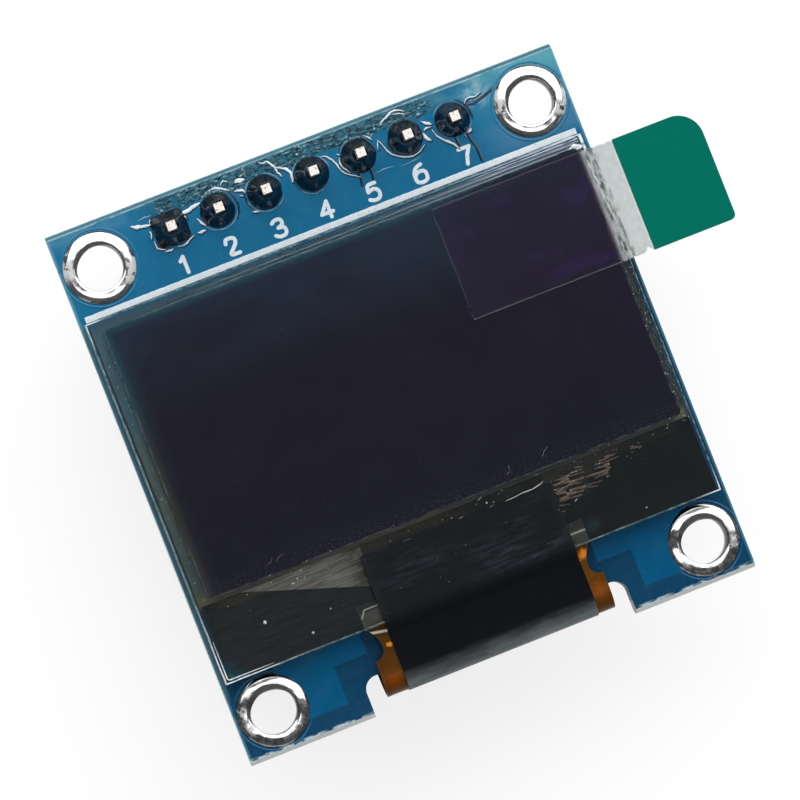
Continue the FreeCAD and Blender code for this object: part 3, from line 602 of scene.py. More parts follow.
def pin_look():
    """Drawn brass under tin, dark where solder wets it, with pale sheared ends."""
    look = Look("pin_tin", (0.78, 0.74, 0.66), 0.25, 1.0)
    top, bottom = PIN_HIGH[2], PIN_LOW[2]
    ends = look.z.step(top - 0.035, top - 0.010) | look.z.step(bottom + 0.10, bottom + 0.02)
    cut = look.noise(0.05, 3, (4, 1, 1)).mix("e8ded2", "fffdf9")
    cut = (look.noise(0.17, 3).step(0.55, 0.66) * 0.7).mix(cut, "826858")
    drawn = look.noise(0.10, 3, (1, 1, 14)).mix((0.62, 0.55, 0.42), (0.86, 0.80, 0.68))
    drawn = (look.z.step(top - 1.1, top - 0.9) * 0.9).mix(drawn, (0.10, 0.10, 0.11))
    look.set(colour=ends.mix(drawn, cut), metal=ends.step(0, 1, 1.0, 0.15), rough=ends.step(0, 1, 0.22, 0.5))
    look.relief(look.noise(0.05, 2, (1, 1, 10)), 0.004)
    return look


def housing_look():
    look = mottled("black_moulding", (0.018, 0.018, 0.019), 0.6, 4, (0.012, 0.012, 0.013),
                   (0.030, 0.030, 0.031), 0.42, grains=[(0.06, 3, 0.006), (1.4, 2, 0.02)])
    look.gloss(0.25, 4, 0.34, 0.52)
    return look


# The panel

def glass_look(name, tint, edge):
    look = Look(name, tint, 0.0, clear=1.0, ior=1.5)
    side = abs(look.facing()).step(0.8, 0.4)
    ground = side * (look.noise(0.30, 4).step(0.52, 0.64) * 0.5 + 0.5)
    look.set(colour=ground.mix(tint, edge), rough=ground * 0.55)
    look.relief(side * look.noise(0.12, 4), 0.05)
    return look


def adhesive_look():
    look = mottled("foam_tape", "ced2c8", 0.7, 3, "b4bcb4", "dee0d6", 0.6)
    place = look.node("Mapping", {"Vector": look.at})
    look.relief(look.node("TexVoronoi", {"Vector": place, "Scale": 1 / 0.22}, "Distance"), 0.02)
    return look


def desiccant_look():
    return mottled("desiccant", "e2e0d4", 0.4, 4, "ceccbe", "f0eee4", 0.9,
                   grains=[(0.12, 3, 0.03)])


def seal_look():
    """Glue round the panel: brown at the left of the ledge, almost black at its right, yellowish at the
    corners, and clear with the board's blue behind it up the sides and along the top, where pale lilac stripes
    are painted reflections in the glass."""
    look = Look("seal_glue", "786242", 0.35)
    streak = look.noise(0.5, 5, (4, 1, 1))
    brown, black = streak.mix("322a24", "685a4c"), streak.mix("181b1d", "323536")
    glue = look.x.step(-1.5, 2.0).mix(brown, black)
    glue = abs(look.x).step(12.15, 12.7).mix(glue, "5c603e")
    flow = look.noise(1.4, 4, (0.5, 1.6, 1))
    left = flow.mix("2c4848", "566864")
    left = look.y.step(1.0, 4.5, 0.0, 0.9).mix(left, flow.mix("145470", "4c7e90"))
    right = flow.mix("101e24", "2c3840")
    cold = look.noise(0.5, 4, (5, 1, 1)).mix("16425c", "42748a")
    # Pale lilac stripes along the top: painted reflections in the glass.
    violet_reflection = look.y.stripes(0.23, 0.45, 0.2).mix("4a7492", "c4c8de")
    top = look.x.step(1.0, 10.0).mix(cold, violet_reflection)
    through = look.y.step(8.4, 8.8).mix(look.x.step(-1.0, 1.0).mix(left, right), top)
    low = look.y.step(POLARIZER_LOW[1] + 0.5, POLARIZER_LOW[1] + 0.2)
    look.set(colour=low.mix(through, glue), rough=flow.step(0.3, 0.7, 0.3, 0.5))
    return look.grain((0.9, 2, 0.004))


def emitter_look():
    look = Look("emitter_film", (0.05, 0.045, 0.06), 0.15, 0.8)
    dots = look.x.stripes(0.17, 0.8, 0.1) * look.y.stripes(0.17, 0.8, 0.1)
    look.set(colour=dots.mix((0.02, 0.02, 0.03), (0.08, 0.07, 0.10)))
    return look


def polarizer_edges(look, tone):
    """The film's pale halo at the left and along the top, its thin rim, and lint along its lower edge."""
    low, high = POLARIZER_LOW, POLARIZER_HIGH
    halo = (look.x.step(low[0] + 0.55, low[0]) | look.y.step(high[1] - 0.50, high[1])) * look.x.step(9.0, 3.0)
    halo_tone = look.y.step(2.0, 6.0).mix((0.034, 0.038, 0.034), (0.018, 0.060, 0.084))
    tone = (halo * 0.75).mix(tone, halo_tone)
    rim_x = look.x.step(low[0] + 0.14, low[0] + 0.02) | look.x.step(high[0] - 0.14, high[0] - 0.02)
    rim_y = look.y.step(low[1] + 0.10, low[1] + 0.01) | look.y.step(high[1] - 0.14, high[1] - 0.02)
    rim = (rim_x | rim_y) * look.noise(0.5, 5).step(0.36, 0.64)
    tone = (rim * 0.35).mix(tone, "687476")
    lint = look.noise(0.07, 5, (1.6, 1, 1), turn=0.7, rough=0.7).step(0.54, 0.70)
    tone = (lint * look.y.step(low[1] + 1.3, low[1] + 0.05) * 0.30).mix(tone, "7c7e84")
    return (look.noise(0.06, 2).step(0.74, 0.80) * 0.3).mix(tone, "96969c")


def polarizer_look():
    """Almost black film: blue-grey towards the header and purple under the pull strip, both painted
    reflections, and dusty at its lower edge.
    """
    look = Look("polarizer_film", (0.010, 0.010, 0.018), 0.14)
    low, high = POLARIZER_LOW, POLARIZER_HIGH
    tone = look.noise(9.0, 3).mix((0.0095, 0.0088, 0.0165), (0.0130, 0.0125, 0.0250))
    tone = look.y.step(0.0, low[1] + 0.5, 0.0, 0.6).mix(tone, (0.0098, 0.0100, 0.0140))
    smear = look.noise(3.2, 4, (2.4, 1, 1), turn=0.5)
    # Blue-grey towards the header: a painted reflection.
    upper = look.y.step(3.0, high[1]) * smear.step(0.30, 0.62, 0.35, 1.0)
    tone = upper.mix(tone, (0.0150, 0.0265, 0.0450))
    left_tone = look.y.step(0.0, 7.5).mix((0.0150, 0.0165, 0.0220), (0.0150, 0.0280, 0.0420))
    tone = (look.x.step(low[0] + 1.1, low[0] + 0.5) * 0.6).mix(tone, left_tone)
    film = look.x.within(FILM_LOW[0] + 0.2, 20.0, 0.5)
    film = film * look.y.within(FILM_LOW[1] + 0.1, FILM_HIGH[1] - 0.1, 0.35)
    tone = (film * 0.6).mix(tone, smear.mix((0.0100, 0.0076, 0.0180), (0.0165, 0.0120, 0.0330)))
    # Purple under the pull strip: a painted reflection.
    violet_reflection = film * look.noise(1.6, 4, (1.2, 0.7, 1), (3, 1, 0), rough=0.6).step(0.54, 0.72)
    tone = (violet_reflection * 0.55).mix(tone, (0.0300, 0.0170, 0.0700))
    look.set(colour=polarizer_edges(look, tone))
    look.gloss(1.6, 4, 0.08, 0.14)
    look.grain((3.0, 2, 0.004))
    look.relief(look.noise(0.05, 2, (12, 1, 1), turn=0.35), 0.0006)
    return look


def silicon_look():
    look = Look("silicon", (0.10, 0.10, 0.115), 0.18, 0.6)
    grid = look.x.stripes(0.12, 0.3, 0.1) | look.y.stripes(0.12, 0.3, 0.1)
    look.set(colour=grid.mix((0.10, 0.10, 0.12), (0.22, 0.22, 0.24)))
    return look


# The cable, the tape and what lies on the ledge

def cable_film(look, lines):
    """Amber film over copper lines, with orange painted highlights in two small places."""
    tone = look.noise(0.9, 3).mix("3c2402", "5c3806")
    tone = (lines * 0.25).mix(tone, "3e2400")
    tone = (look.x.step(0.0, 1.0) * 0.22).mix(tone, "824a06")
    ragged = (look.noise(0.35, 4, rough=0.65) - 0.5) * 0.7
    # Two small orange painted highlights.
    left_highlight = (look.away(-5.10, -10.95) + ragged).step(0.16, 0.0)
    amber_highlight = left_highlight | (look.away(5.62, -10.30) + ragged).step(0.42, 0.10)
    warm = look.spot(-5.5, -12.7, 0.8) | look.spot(5.75, -12.3, 0.7)
    tone = (warm * 0.55).mix(tone, "964804")
    return (amber_highlight * 0.85).mix(tone, "ec8a22")


def cable_bond(look):
    """The tinned strips where the cable is bonded under the glass, with painted highlights as pale lines along
    their edges.
    """
    right_side = look.x.step(0.0, 1.0)
    steel = look.noise(0.25, 4, (6, 1, 1)).mix("323230", "686660")
    above = look.y.step(GLASS_LOW[1] + 0.75, GLASS_LOW[1] + 0.85)
    steel = (above * 0.75).mix(steel, "1a2228")
    steel = (right_side * 0.35).mix(steel, "2c2a28")
    # Pale lines along the strips' edges: painted highlights.
    slant = abs(look.x * 0.817 - look.y * 0.577 - 0.514).step(0.06, 0.02) * look.y.within(-9.3, -8.88, 0.02)
    left = look.y.within(-8.93, -8.86, 0.02) * look.x.within(-5.68, -4.8, 0.02) | slant
    right = look.y.within(-9.23, -9.14, 0.02) * right_side
    right = right | look.x.within(6.27, 6.34, 0.02) * look.y.step(-9.12, -9.16)
    return (left * 0.7 | right * 0.8).mix(steel, "ceccc0")


def cable_look():
    """Amber polyimide with copper lines in it, tinned strips where it is bonded under the glass, and a slanted
    painted highlight at its left.
    """
    look = Look("amber_polyimide", "5a3200", 0.2, specular=0.10)
    lines = look.x.stripes(0.30, 0.55, 0.12)
    front = look.z.step(1.6, 1.8)
    bond = look.y.within(GLASS_LOW[1] - 0.04, GLASS_LOW[1] + 1.25, 0.03) * front
    # A slanted pale line at the left: a painted highlight.
    strip = abs(look.x * 0.19 + look.y + 11.19).step(0.09, 0.04) * look.x.step(-4.0, -4.4)
    tone = bond.mix(cable_film(look, lines), cable_bond(look))
    look.set(colour=(strip * front * 0.9).mix(tone, "d6d2c4"))
    look.gloss(0.5, 3, 0.22, 0.40)
    look.relief(lines, 0.003)
    return look.grain((0.6, 3, 0.02))


def tape_look():
    """Black tape: faintly scuffed on the glass and lighter there as painted reflection, deep black below it,
    painted lighter where it slopes, and a painted grey reflection round the fold.
    """
    look = Look("black_tape", (0.006, 0.007, 0.009), 0.3, specular=0.05)
    fray = look.noise(0.45, 5, rough=0.7) * 0.7
    # On the glass the tape is lighter: partly scuffs, partly painted reflection.
    ledge = (look.y + fray).step(GLASS_LOW[1] + 0.10, GLASS_LOW[1] + 0.85)
    streak = look.noise(0.30, 5, (5.0, 0.6, 1), turn=0.62, rough=0.62)
    scuff_and_sheen = look.noise(1.8, 4, (1.6, 0.8, 1), (2, 1, 0), turn=0.5).step(0.44, 0.68)
    tone = streak.mix((0.0062, 0.0082, 0.0100), (0.0120, 0.0148, 0.0175))
    tone = (scuff_and_sheen * streak.step(0.38, 0.66) * 0.75).mix(tone, (0.0270, 0.0360, 0.0440))
    edge = abs(look.x - (TAPE_LOW[0] + TAPE_HIGH[0]) / 2).step(4.6, 5.1)
    tone = (edge * 0.5).mix(tone, (0.016, 0.018, 0.019))
    black = look.noise(0.4, 3).mix((0.0030, 0.0038, 0.0062), (0.0048, 0.0058, 0.0086))
    colour = ledge.mix(black, tone)
    # Sloping faces are painted lighter: painted light.
    colour = (look.facing().step(0.998, 0.980) * 0.8).mix(colour, (0.0120, 0.0140, 0.0175))
    # The grey band round the fold is a painted reflection.
    bent = look.y + look.noise(0.5, 4, (3, 1, 1)) * 0.5
    fold = bent.step(-12.15, -13.20) * look.z.step(-0.05, 0.4)
    smooth = look.noise(0.30, 5, (6, 1, 1), rough=0.6).mix("3e484c", "96a0a0")
    look.set(colour=(fold * look.noise(1.4, 3, (2, 1, 1)).step(0.3, 0.6, 0.5, 1.0)).mix(colour, smooth))
    look.gloss(0.3, 4, 0.30, 0.42)
    look.relief(streak * ledge, 0.003)
    return look.grain((0.08, 2, 0.0006))


def tab_look():
    look = mottled("green_tab", "006c5b", 1.5, 4, "006a59", "006e5d", 0.3,
                   grains=[(0.12, 2, 0.001)], specular=0.03)
    look.gloss(0.4, 3, 0.30, 0.40)
    return look


def film_look():
    """Clear strip: flat and glossy on the display, milky and crinkled where it bends over the glass, with
    painted shadows and highlights in the crinkles.
    """
    look = Look("clear_strip", (0.96, 0.97, 0.97), 0.05, clear=1.0, ior=1.12)
    edge = POLARIZER_HIGH[0]
    free = look.x.step(edge - 0.10, edge + 0.35)
    clear = look.noise(2.2, 2).mix((0.90, 0.86, 0.98), (0.98, 0.96, 1.0))
    milk = look.noise(0.3, 4).mix((0.52, 0.56, 0.56), (0.76, 0.80, 0.80))
    pinch = abs(look.x - (edge + 0.45)).step(0.55, 0.1)
    crinkle = look.noise(0.20, 5, (0.7, 2.6, 1), turn=0.12, rough=0.65)
    # Painted shadows, then painted highlights, in the crinkles where the strip bends.
    milk = (pinch * crinkle.step(0.47, 0.60)).mix(milk, (0.13, 0.18, 0.17))
    milk = (pinch * crinkle.step(0.42, 0.33)).mix(milk, (0.97, 0.98, 0.97))
    look.set(colour=free.mix(clear, milk), rough=free.step(0, 1, 0.03, 0.45),
             clear=free.step(0, 1, 1.0, 0.55))
    look.relief(free * look.noise(0.10, 4), 0.02)
    look.relief(pinch * crinkle, 0.05)
    return look


def ledge_film_look():
    """Dark sheet behind the bare ledge, finely brushed, with brown glue seeping over it from the seal."""
    look = Look("ledge_dark_sheet", (0.014, 0.018, 0.020), 0.9, specular=0.0)
    brushed = look.noise(0.10, 5, (14, 1, 1), turn=-0.42, rough=0.65)
    side = look.x.step(-1.0, 4.0)
    left = brushed.step(0.34, 0.66).mix((0.0100, 0.0140, 0.0175), (0.0200, 0.0255, 0.0300))
    cloud = look.noise(1.3, 4, (2.5, 1, 1)).step(0.34, 0.66)
    tone = side.mix(left, cloud.mix((0.0020, 0.0072, 0.0090), (0.0045, 0.0105, 0.0130)))
    bluish = look.noise(0.4, 3).mix((0.014, 0.030, 0.042), (0.034, 0.062, 0.078))
    lit = look.spot(6.6, -9.15, 0.65) | (look.spot(7.0, -7.25, 0.5) | look.spot(6.3, -7.4, 0.45))
    tone = (lit * 0.75).mix(tone, bluish)
    reach = (look.noise(0.7, 4) - 0.5) * 1.2 - (look.x + look.y - (GLASS_LOW[0] + GLASS_LOW[1]))
    corner_tone = reach.step(-1.0, -0.5).mix("0e4258", "36626c")
    tone = (reach.step(-1.9, -1.0) * 0.92).mix(tone, corner_tone)
    seep = look.y + look.noise(0.35, 5, (3, 1, 1)) * 0.5
    seep = seep.step(CAP_LOW[1] - 0.15, CAP_LOW[1] + 0.10) * look.x.within(-12.4, 12.4, 0.4)
    grit = look.noise(0.16, 4, rough=0.65)
    brown = grit.mix((0.012, 0.011, 0.009), (0.064, 0.052, 0.040))
    dark = grit.mix((0.006, 0.008, 0.009), (0.026, 0.028, 0.029))
    look.set(colour=seep.mix(tone, look.x.step(-1.5, 2.0).mix(brown, dark)))
    look.relief(brushed * side.step(1.0, 0.0), 0.002)
    return look


def fan_look():
    """Fine conductors: brushed grey at the left, stained beside the tape, and almost black at the right."""
    look = Look("fan_out_metal", "605e5a", 0.4, 0.3, specular=0.2)
    brushed = look.noise(0.07, 4, (18, 1, 1), turn=-0.34, rough=0.55)
    tone = brushed.step(0.30, 0.70).mix("54514e", "8a8682")
    near_tape = look.x.step(-6.2, -4.8) * look.noise(0.5, 4).step(0.35, 0.6, 0.3, 0.9)
    tone = near_tape.mix(tone, "2e2620")
    look.set(colour=look.x.step(0.0, 1.0).mix(tone, brushed.mix("101414", "32302a")))
    return look


# A white line along the tab's inner edge.
def white_edge_line_look():
    look = Look("white_edge_line", "f4fcfa", 0.5)
    look.set(colour=look.noise(0.3, 3, (1, 3, 1)).mix("def0ec", "fafefd"))
    return look.grain((0.1, 3, 0.004))


def debris_look():
    look = Look("dry_glue", "5a5046", 0.35, specular=0.25)
    tone = look.noise(0.2, 3).mix("181816", "685a4c")
    glints = look.noise(0.14, 4, shift=(2, 2, 0)).step(0.63, 0.72)
    look.set(colour=glints.mix(tone, "b0b6b4"))
    return look.grain((0.06, 3, 0.010))


def ground_glass_look():
    """The ground edge of the glass: mostly dark, white where the light catches it."""
    look = Look("ground_edge", "78969c", 0.5)
    (x0, y0, _), (x1, y1, _) = GLASS_LOW, GLASS_HIGH
    rough = look.noise(0.30, 5, rough=0.7)
    dull = rough.step(0.38, 0.62).mix("0c242e", "70888a")
    teal = rough.step(0.36, 0.64).mix("1e4e5c", "78989c")
    dull = look.x.step(x0 + 0.3, x0 + 0.15).mix(dull, teal)
    bright = rough.step(0.30, 0.50).mix("8ca4aa", "f0f6f6")
    corners = look.spot(x0, y0, 5.0) | look.spot(x1, y1, 4.0)
    corners = corners | (look.spot(x1, y0, 1.3) | look.spot(x0, y1, 1.6))
    look.set(colour=(corners * 0.95).mix(dull, bright))
    return look.grain((0.08, 3, 0.008))


def border_line_look():
    """Pale lilac reflections of the panel's border in the glass."""
    look = Look("border_reflection", "b4bed2", 0.4)
    tone = look.noise(0.7, 4, (3, 1, 1)).mix("5c7c92", "ced2e2")
    look.set(colour=look.x.step(4.0, 10.5).mix("60808a", tone))
    return look


def dust_and_glint_look():
    """Grey grains; the same look draws the painted glints on creases."""
    return mottled("dust_and_glints", "c4c8c4", 0.4, 2, "787c7a", "e6e6e2", 0.6)


# The chip parts

def ceramic_look():
    return mottled("ceramic_body", "a88a68", 0.2, 4, "967858", "ba9e7c", 0.5,
                   grains=[(0.07, 3, 0.008)])


def resistor_look():
    """White alumina with a black glaze on its outer face."""
    look = Look("resistor_body", (0.02, 0.02, 0.022), 0.3)
    outer = look.z.step(-0.36, -0.42)
    black = look.noise(0.3, 3).mix((0.010, 0.010, 0.012), (0.028, 0.028, 0.030))
    look.set(colour=outer.mix("e2e0d8", black), rough=outer.step(0, 1, 0.6, 0.22))
    return look.grain((0.1, 3, 0.006))


def epoxy_look():
    return mottled("moulded_epoxy", (0.022, 0.022, 0.023), 0.15, 4, (0.014, 0.014, 0.015),
                   (0.036, 0.036, 0.037), 0.5, grains=[(0.05, 3, 0.008)])


# Camera, light and floor

PHOTO_EYE = Vector((-23.0, -6.0, 261.0)) * MM
PHOTO_CENTRE = Vector((-0.031, 0.2456, 1.2)) * MM
PHOTO_UP = Vector((0.3951, 1.0, 0.0))
SENSOR_WIDTH = 36.0
FOCAL_PIXELS, PHOTO_PIXELS = 5195.0, 800
UP_SLOPE = PHOTO_UP.normalized()
SIDE_SLOPE = Vector((UP_SLOPE.y, -UP_SLOPE.x, 0))


def add_thing(name, data):
    thing = bpy.data.objects.new(name, data)
    bpy.context.scene.collection.objects.link(thing)
    return thing


def add_camera():
    """The photograph's view, almost straight down through a long lens."""
    data = bpy.data.cameras.new("photo_camera")
    data.lens = FOCAL_PIXELS / PHOTO_PIXELS * SENSOR_WIDTH
    data.sensor_width = SENSOR_WIDTH
    data.clip_start, data.clip_end = 0.01, 10
    back = (PHOTO_EYE - PHOTO_CENTRE).normalized()
    right = PHOTO_UP.cross(back).normalized()
    turned = Matrix((right, back.cross(right), back)).transposed().to_4x4()
    camera = add_thing("photo_camera", data)
    camera.matrix_world = Matrix.Translation(PHOTO_EYE) @ turned
    bpy.context.scene.camera = camera


def add_lamp(name, direction, distance, size, radiance, in_reflections=True):
    """A softbox of that radiance whose face looks at the object."""
    data = bpy.data.lights.new(name, "AREA")
    data.shape = "RECTANGLE"
    data.size, data.size_y = size
    data.energy = radiance * math.pi * size[0] * size[1]
    away = direction.normalized()
    lamp = add_thing(name, data)
    lamp.location = away * distance
    lamp.rotation_mode = "QUATERNION"
    lamp.rotation_quaternion = away.to_track_quat("Z", "Y")
    lamp.visible_camera = False
    lamp.visible_glossy = in_reflections


def add_light():
    """One big softbox beyond the photograph's top edge, weak fill from the other sides, and a dim studio."""
    up = Vector((0, 0, 1.0))
    add_lamp("key_softbox", UP_SLOPE + up, 0.45, (0.95, 0.56), 2.3)
    add_lamp("top_strip", -UP_SLOPE * 0.25 + up, 0.6, (0.5, 0.12), 2.3)
    add_lamp("front_strip", -UP_SLOPE + up * 0.27, 0.6, (0.9, 0.20), 0.25)
    add_lamp("sky_fill", up, 0.9, (1.2, 1.2), 0.16, in_reflections=False)
    add_lamp("front_fill", -UP_SLOPE + SIDE_SLOPE * 0.3 + up * 0.8, 0.6, (0.7, 0.5), 0.50,
             in_reflections=False)
    add_lamp("under_fill", Vector((0.2, -0.5, -1.0)), 0.6, (0.8, 0.8), 1.1, in_reflections=False)
    world = bpy.data.worlds.new("studio")
    world.use_nodes = True
    graph = Graph(world.node_tree)
    backdrop = graph.tree.nodes["Background"].inputs
    seen = graph.node("LightPath", output="Is Camera Ray")
    graph.put(backdrop["Strength"], graph.node("MapRange", {"Value": seen, "To Min": 0.08, "To Max": 1.0}))
    graph.put(backdrop["Color"], (1, 1, 1))
    bpy.context.scene.world = world


def floor_look():
    """Pale floor that shows white to the camera and in reflections, and still takes the object's shadow."""
    material = bpy.data.materials.new("pale_floor")
    material.use_nodes = True
    graph = Graph(material.node_tree)
    graph.tree.nodes.remove(graph.tree.nodes["Principled BSDF"])
    rays = [graph.node("LightPath", output=f"Is {kind} Ray") for kind in ("Camera", "Glossy", "Transmission")]
    seen = rays[0] | rays[1] | rays[2]
    paper = graph.node("BsdfDiffuse", {"Color": seen.mix((0.80, 0.80, 0.80), (0.28, 0.28, 0.28))})
    front = graph.node("AddShader", {0: paper, 1: graph.node("Emission", {"Strength": seen * 0.76})})
    under = graph.node("NewGeometry", output="Backfacing")
    floor = graph.node("MixShader", {0: under, 1: front, 2: graph.node("BsdfTransparent")})
    graph.put(graph.tree.nodes["Material Output"].inputs["Surface"], floor)
    return material


def add_floor():
    """A floor just below the pin tips."""
    z, half = cad_low.z - 0.00005, 2.0
    mesh = bpy.data.meshes.new("floor")
    mesh.from_pydata([(x, y, z) for x, y in rectangle(-half, -half, half, half)], [], [(0, 1, 2, 3)])
    mesh.materials.append(floor_look())
    add_thing("floor", mesh)


# Pieces on the front

def sheet_of_glass(low, high, seed):
    """A cut glass sheet whose scribed edges are slightly chipped."""
    chip_at = np.random.RandomState(seed)
    corners = rectangle(low[0], low[1], high[0], high[1])
    outline = np.array([p for a, b in sides_of(corners) for p in divided(a, b, 0.16)[:-1]])
    middle, reach = (low[:2] + high[:2]) / 2, (high[:2] - low[:2]) / 2
    count = len(outline)
    thick = high[2] - low[2]
    points = []
    # Height of each ring of points, how far it is drawn in, and how deep its chips are
    rings = [(low[2], 0.02, 0.03), (low[2] + 0.04, 0.0, 0.01), (low[2] + 0.62 * thick, 0.0, 0.012),
             (high[2] - 0.05, 0.004, 0.03), (high[2], 0.03, 0.055)]
    for z, inset, chip in rings:
        bites = np.clip(waves(*outline.T, 1.1, seed + int(z * 100)) - 0.1, 0, 1)
        bites = bites * chip_at.uniform(0.5, 1.0, count)
        limit = 1 - (inset + chip * bites)[:, None] / reach
        ring = middle + np.clip((outline - middle) / reach, -limit, limit) * reach
        points += [(x, y, z) for x, y in ring]
    faces = quads(5, count, closed=True, turned=True)
    faces += [tuple(range(count - 1, -1, -1)), tuple(range(4 * count, 5 * count))]
    return points, faces


def add_front_glass(look):
    """The front glass, a hair's breadth clear of what touches it."""
    gap = np.array([0.0, 0.0, 0.004])
    sheet = sheet_of_glass(GLASS_LOW + gap, GLASS_HIGH - gap, 3)
    make("front_glass", [sheet], look, smooth=False, replaces="substrate_glass")


# Way out from the bore in millimetres and the slope there in degrees, rising to the crest and falling past it
UPPER_RING = [(0.0, 34), (0.08, 28), (0.118, 12), (0.122, -6.5), (0.34, -11.4), (0.50, -30),
              (0.58, -38), (0.66, -46)]
LOWER_RING = [(0.0, 32), (0.10, 25), (0.158, 12), (0.162, -8), (0.23, -13), (0.46, -16),
              (0.56, -34), (0.66, -46)]
# Direction in degrees and depth in millimetres of the thick lip inside each hole
UPPER_LIP, LOWER_LIP = (113.0, 0.15), (98.0, 0.19)
# How far the rings stand off the board's back, and how much their width and height wander on the front
BACK_RING, UNEVEN_WIDTH, UNEVEN_HEIGHT = 0.17, 0.008, 0.06


def ring_profile(bore, knots):
    """Cross section of a mounting hole's plating: ridged rings on both faces and the barrel between them."""
    places, slopes = zip(*knots)
    ways = np.unique(np.concatenate([places, np.linspace(0, places[-1], 23)]))
    tans = np.tan(np.radians(np.interp(ways, places, slopes)))
    rises = np.concatenate([[0], np.cumsum((tans[1:] + tans[:-1]) / 2 * np.diff(ways))])
    front = [(bore + w, BOARD_TOP + z - rises[-1]) for w, z in zip(ways, rises)][::-1]
    half = places[-1] / 2
    turns = np.linspace(0.0, math.pi, 15)
    return front + [(bore + half - half * math.cos(a), BOARD_BACK - BACK_RING * math.sin(a)) for a in turns]


def ring_slice(a, profile, lip, bore, crest, seed):
    """The cross section at an angle, a little uneven, with the lip pulled in over the hole on the front."""
    x, y = 3 * math.cos(a), 3 * math.sin(a)
    wide, tall = waves(x, y, 4.5, seed, 2), waves(x, y, 3.5, seed + 10, 2)
    for r, z in profile:
        lift = max(0.0, z - BOARD_TOP)
        r = r + (UNEVEN_WIDTH * wide if lift > 0 else 0)
        if z > BOARD_BACK + 0.3:
            share = min(1.0, max(0.0, (bore + crest - r) / crest))
            r, z = r - lip * share, z - 0.4 * lip * share
        yield r, z + lift * UNEVEN_HEIGHT * tall


def add_rings(look):
    """Tinned mounting rings, each a little uneven, and the lower two more sharply ridged."""
    count = 180
    for number, node in enumerate(HOLES, 1):
        low, high = box(node)
        middle = centre(node)
        knots, (turn, depth) = (UPPER_RING, UPPER_LIP) if middle[1] > 0 else (LOWER_RING, LOWER_LIP)
        bore, crest = (high[0] - low[0]) / 2 + 0.01 - knots[-1][0], knots[3][0]
        profile = ring_profile(bore, knots)
        points = []
        for i in range(count):
            a = 2 * math.pi * i / count
            lip = depth * max(0.0, math.cos(a - math.radians(turn))) ** 1.5
            for r, z in ring_slice(a, profile, lip, bore, crest, number):
                points.append((*on_circle(middle, r, [a])[0], z))
        faces = quads(count, len(profile), ring=True, closed=True)
        make(f"mounting_ring_{number}", [(points, faces)], look, replaces=node)


def add_mask_rims(look):
    """The solder mask's raised edge round each ring, cut off where it would leave the board."""
    parts, angles = [], np.linspace(0, 2 * math.pi, 96, endpoint=False)
    side, end, apart = PCB_HIGH[0] - 0.09, 0.25, 0.3
    for node in HOLES:
        low, high = box(node)
        line = on_circle(centre(node), (high[0] - low[0]) / 2 + 0.13, angles)
        line = [p for p in line if abs(p[0]) < side and PCB_LOW[1] + end < p[1] < PCB_HIGH[1] - end]
        cuts = [i for i in range(len(line)) if math.dist(line[i], line[i - 1]) > apart]
        first = cuts[0] if cuts else 0
        line = line[first:] + line[:first]
        ends = [i - first for i in cuts[1:]] + [len(line)]
        runs = [line[a:b] for a, b in zip([0] + ends, ends)]
        parts += [ribbon(run, 0.11, BOARD_TOP - 0.002, 0.035) for run in runs if len(run) > 3]
    make("mask_rims", parts, look)


def solder_radius(share, a, number):
    """How far a solder cone reaches at a share of its height: flared foot, hollow flank, round shoulder. The
    first one's foot is square, and every tip follows the square pin."""
    foot, neck = 0.90, PIN_HALF + 0.06
    flank = neck + (foot - neck) * (1 - share) ** 1.9
    radius = flank - 0.10 * (foot - neck) * math.sin(math.pi * share)
    squareness = max(0.9 * (1 - share) ** 0.6 if number == 1 else 0.0, 0.75 * share ** 3)
    corner = min(1 / max(abs(math.cos(a)), abs(math.sin(a)), 1e-6), 1.25)
    rough = waves(2 * math.cos(a), 2 * math.sin(a) + share * 3, 2.4, number * 7)
    return radius * (1 + (corner - 1) * squareness) * (1 + 0.022 * float(rough) * (1 - 0.6 * share))


def add_solder(look):
    """Solder cones climbing the pins, the first one on a square pad."""
    steps, count = 22, 72
    for number, node in enumerate(nodes_like("solder_joint_"), 1):
        middle, top = PINS[number - 1], box(node)[1][2] + 0.13
        points = []
        for k in range(steps + 1):
            share = k / steps
            z = BOARD_TOP - 0.01 + (top - BOARD_TOP) * share ** 0.92
            for i in range(count):
                a = 2 * math.pi * (i + 0.5) / count
                points.append((*on_circle(middle, solder_radius(share, a, number), [a])[0], z))
        last, tip = steps * count, len(points)
        points.append((middle[0], middle[1], points[last][2] + 0.02))
        faces = quads(steps + 1, count, closed=True, turned=True)
        faces += [(last + i, last + (i + 1) % count, tip) for i in range(count)]
        make(f"solder_cone_{number}", [(points, faces)], look, replaces=node)


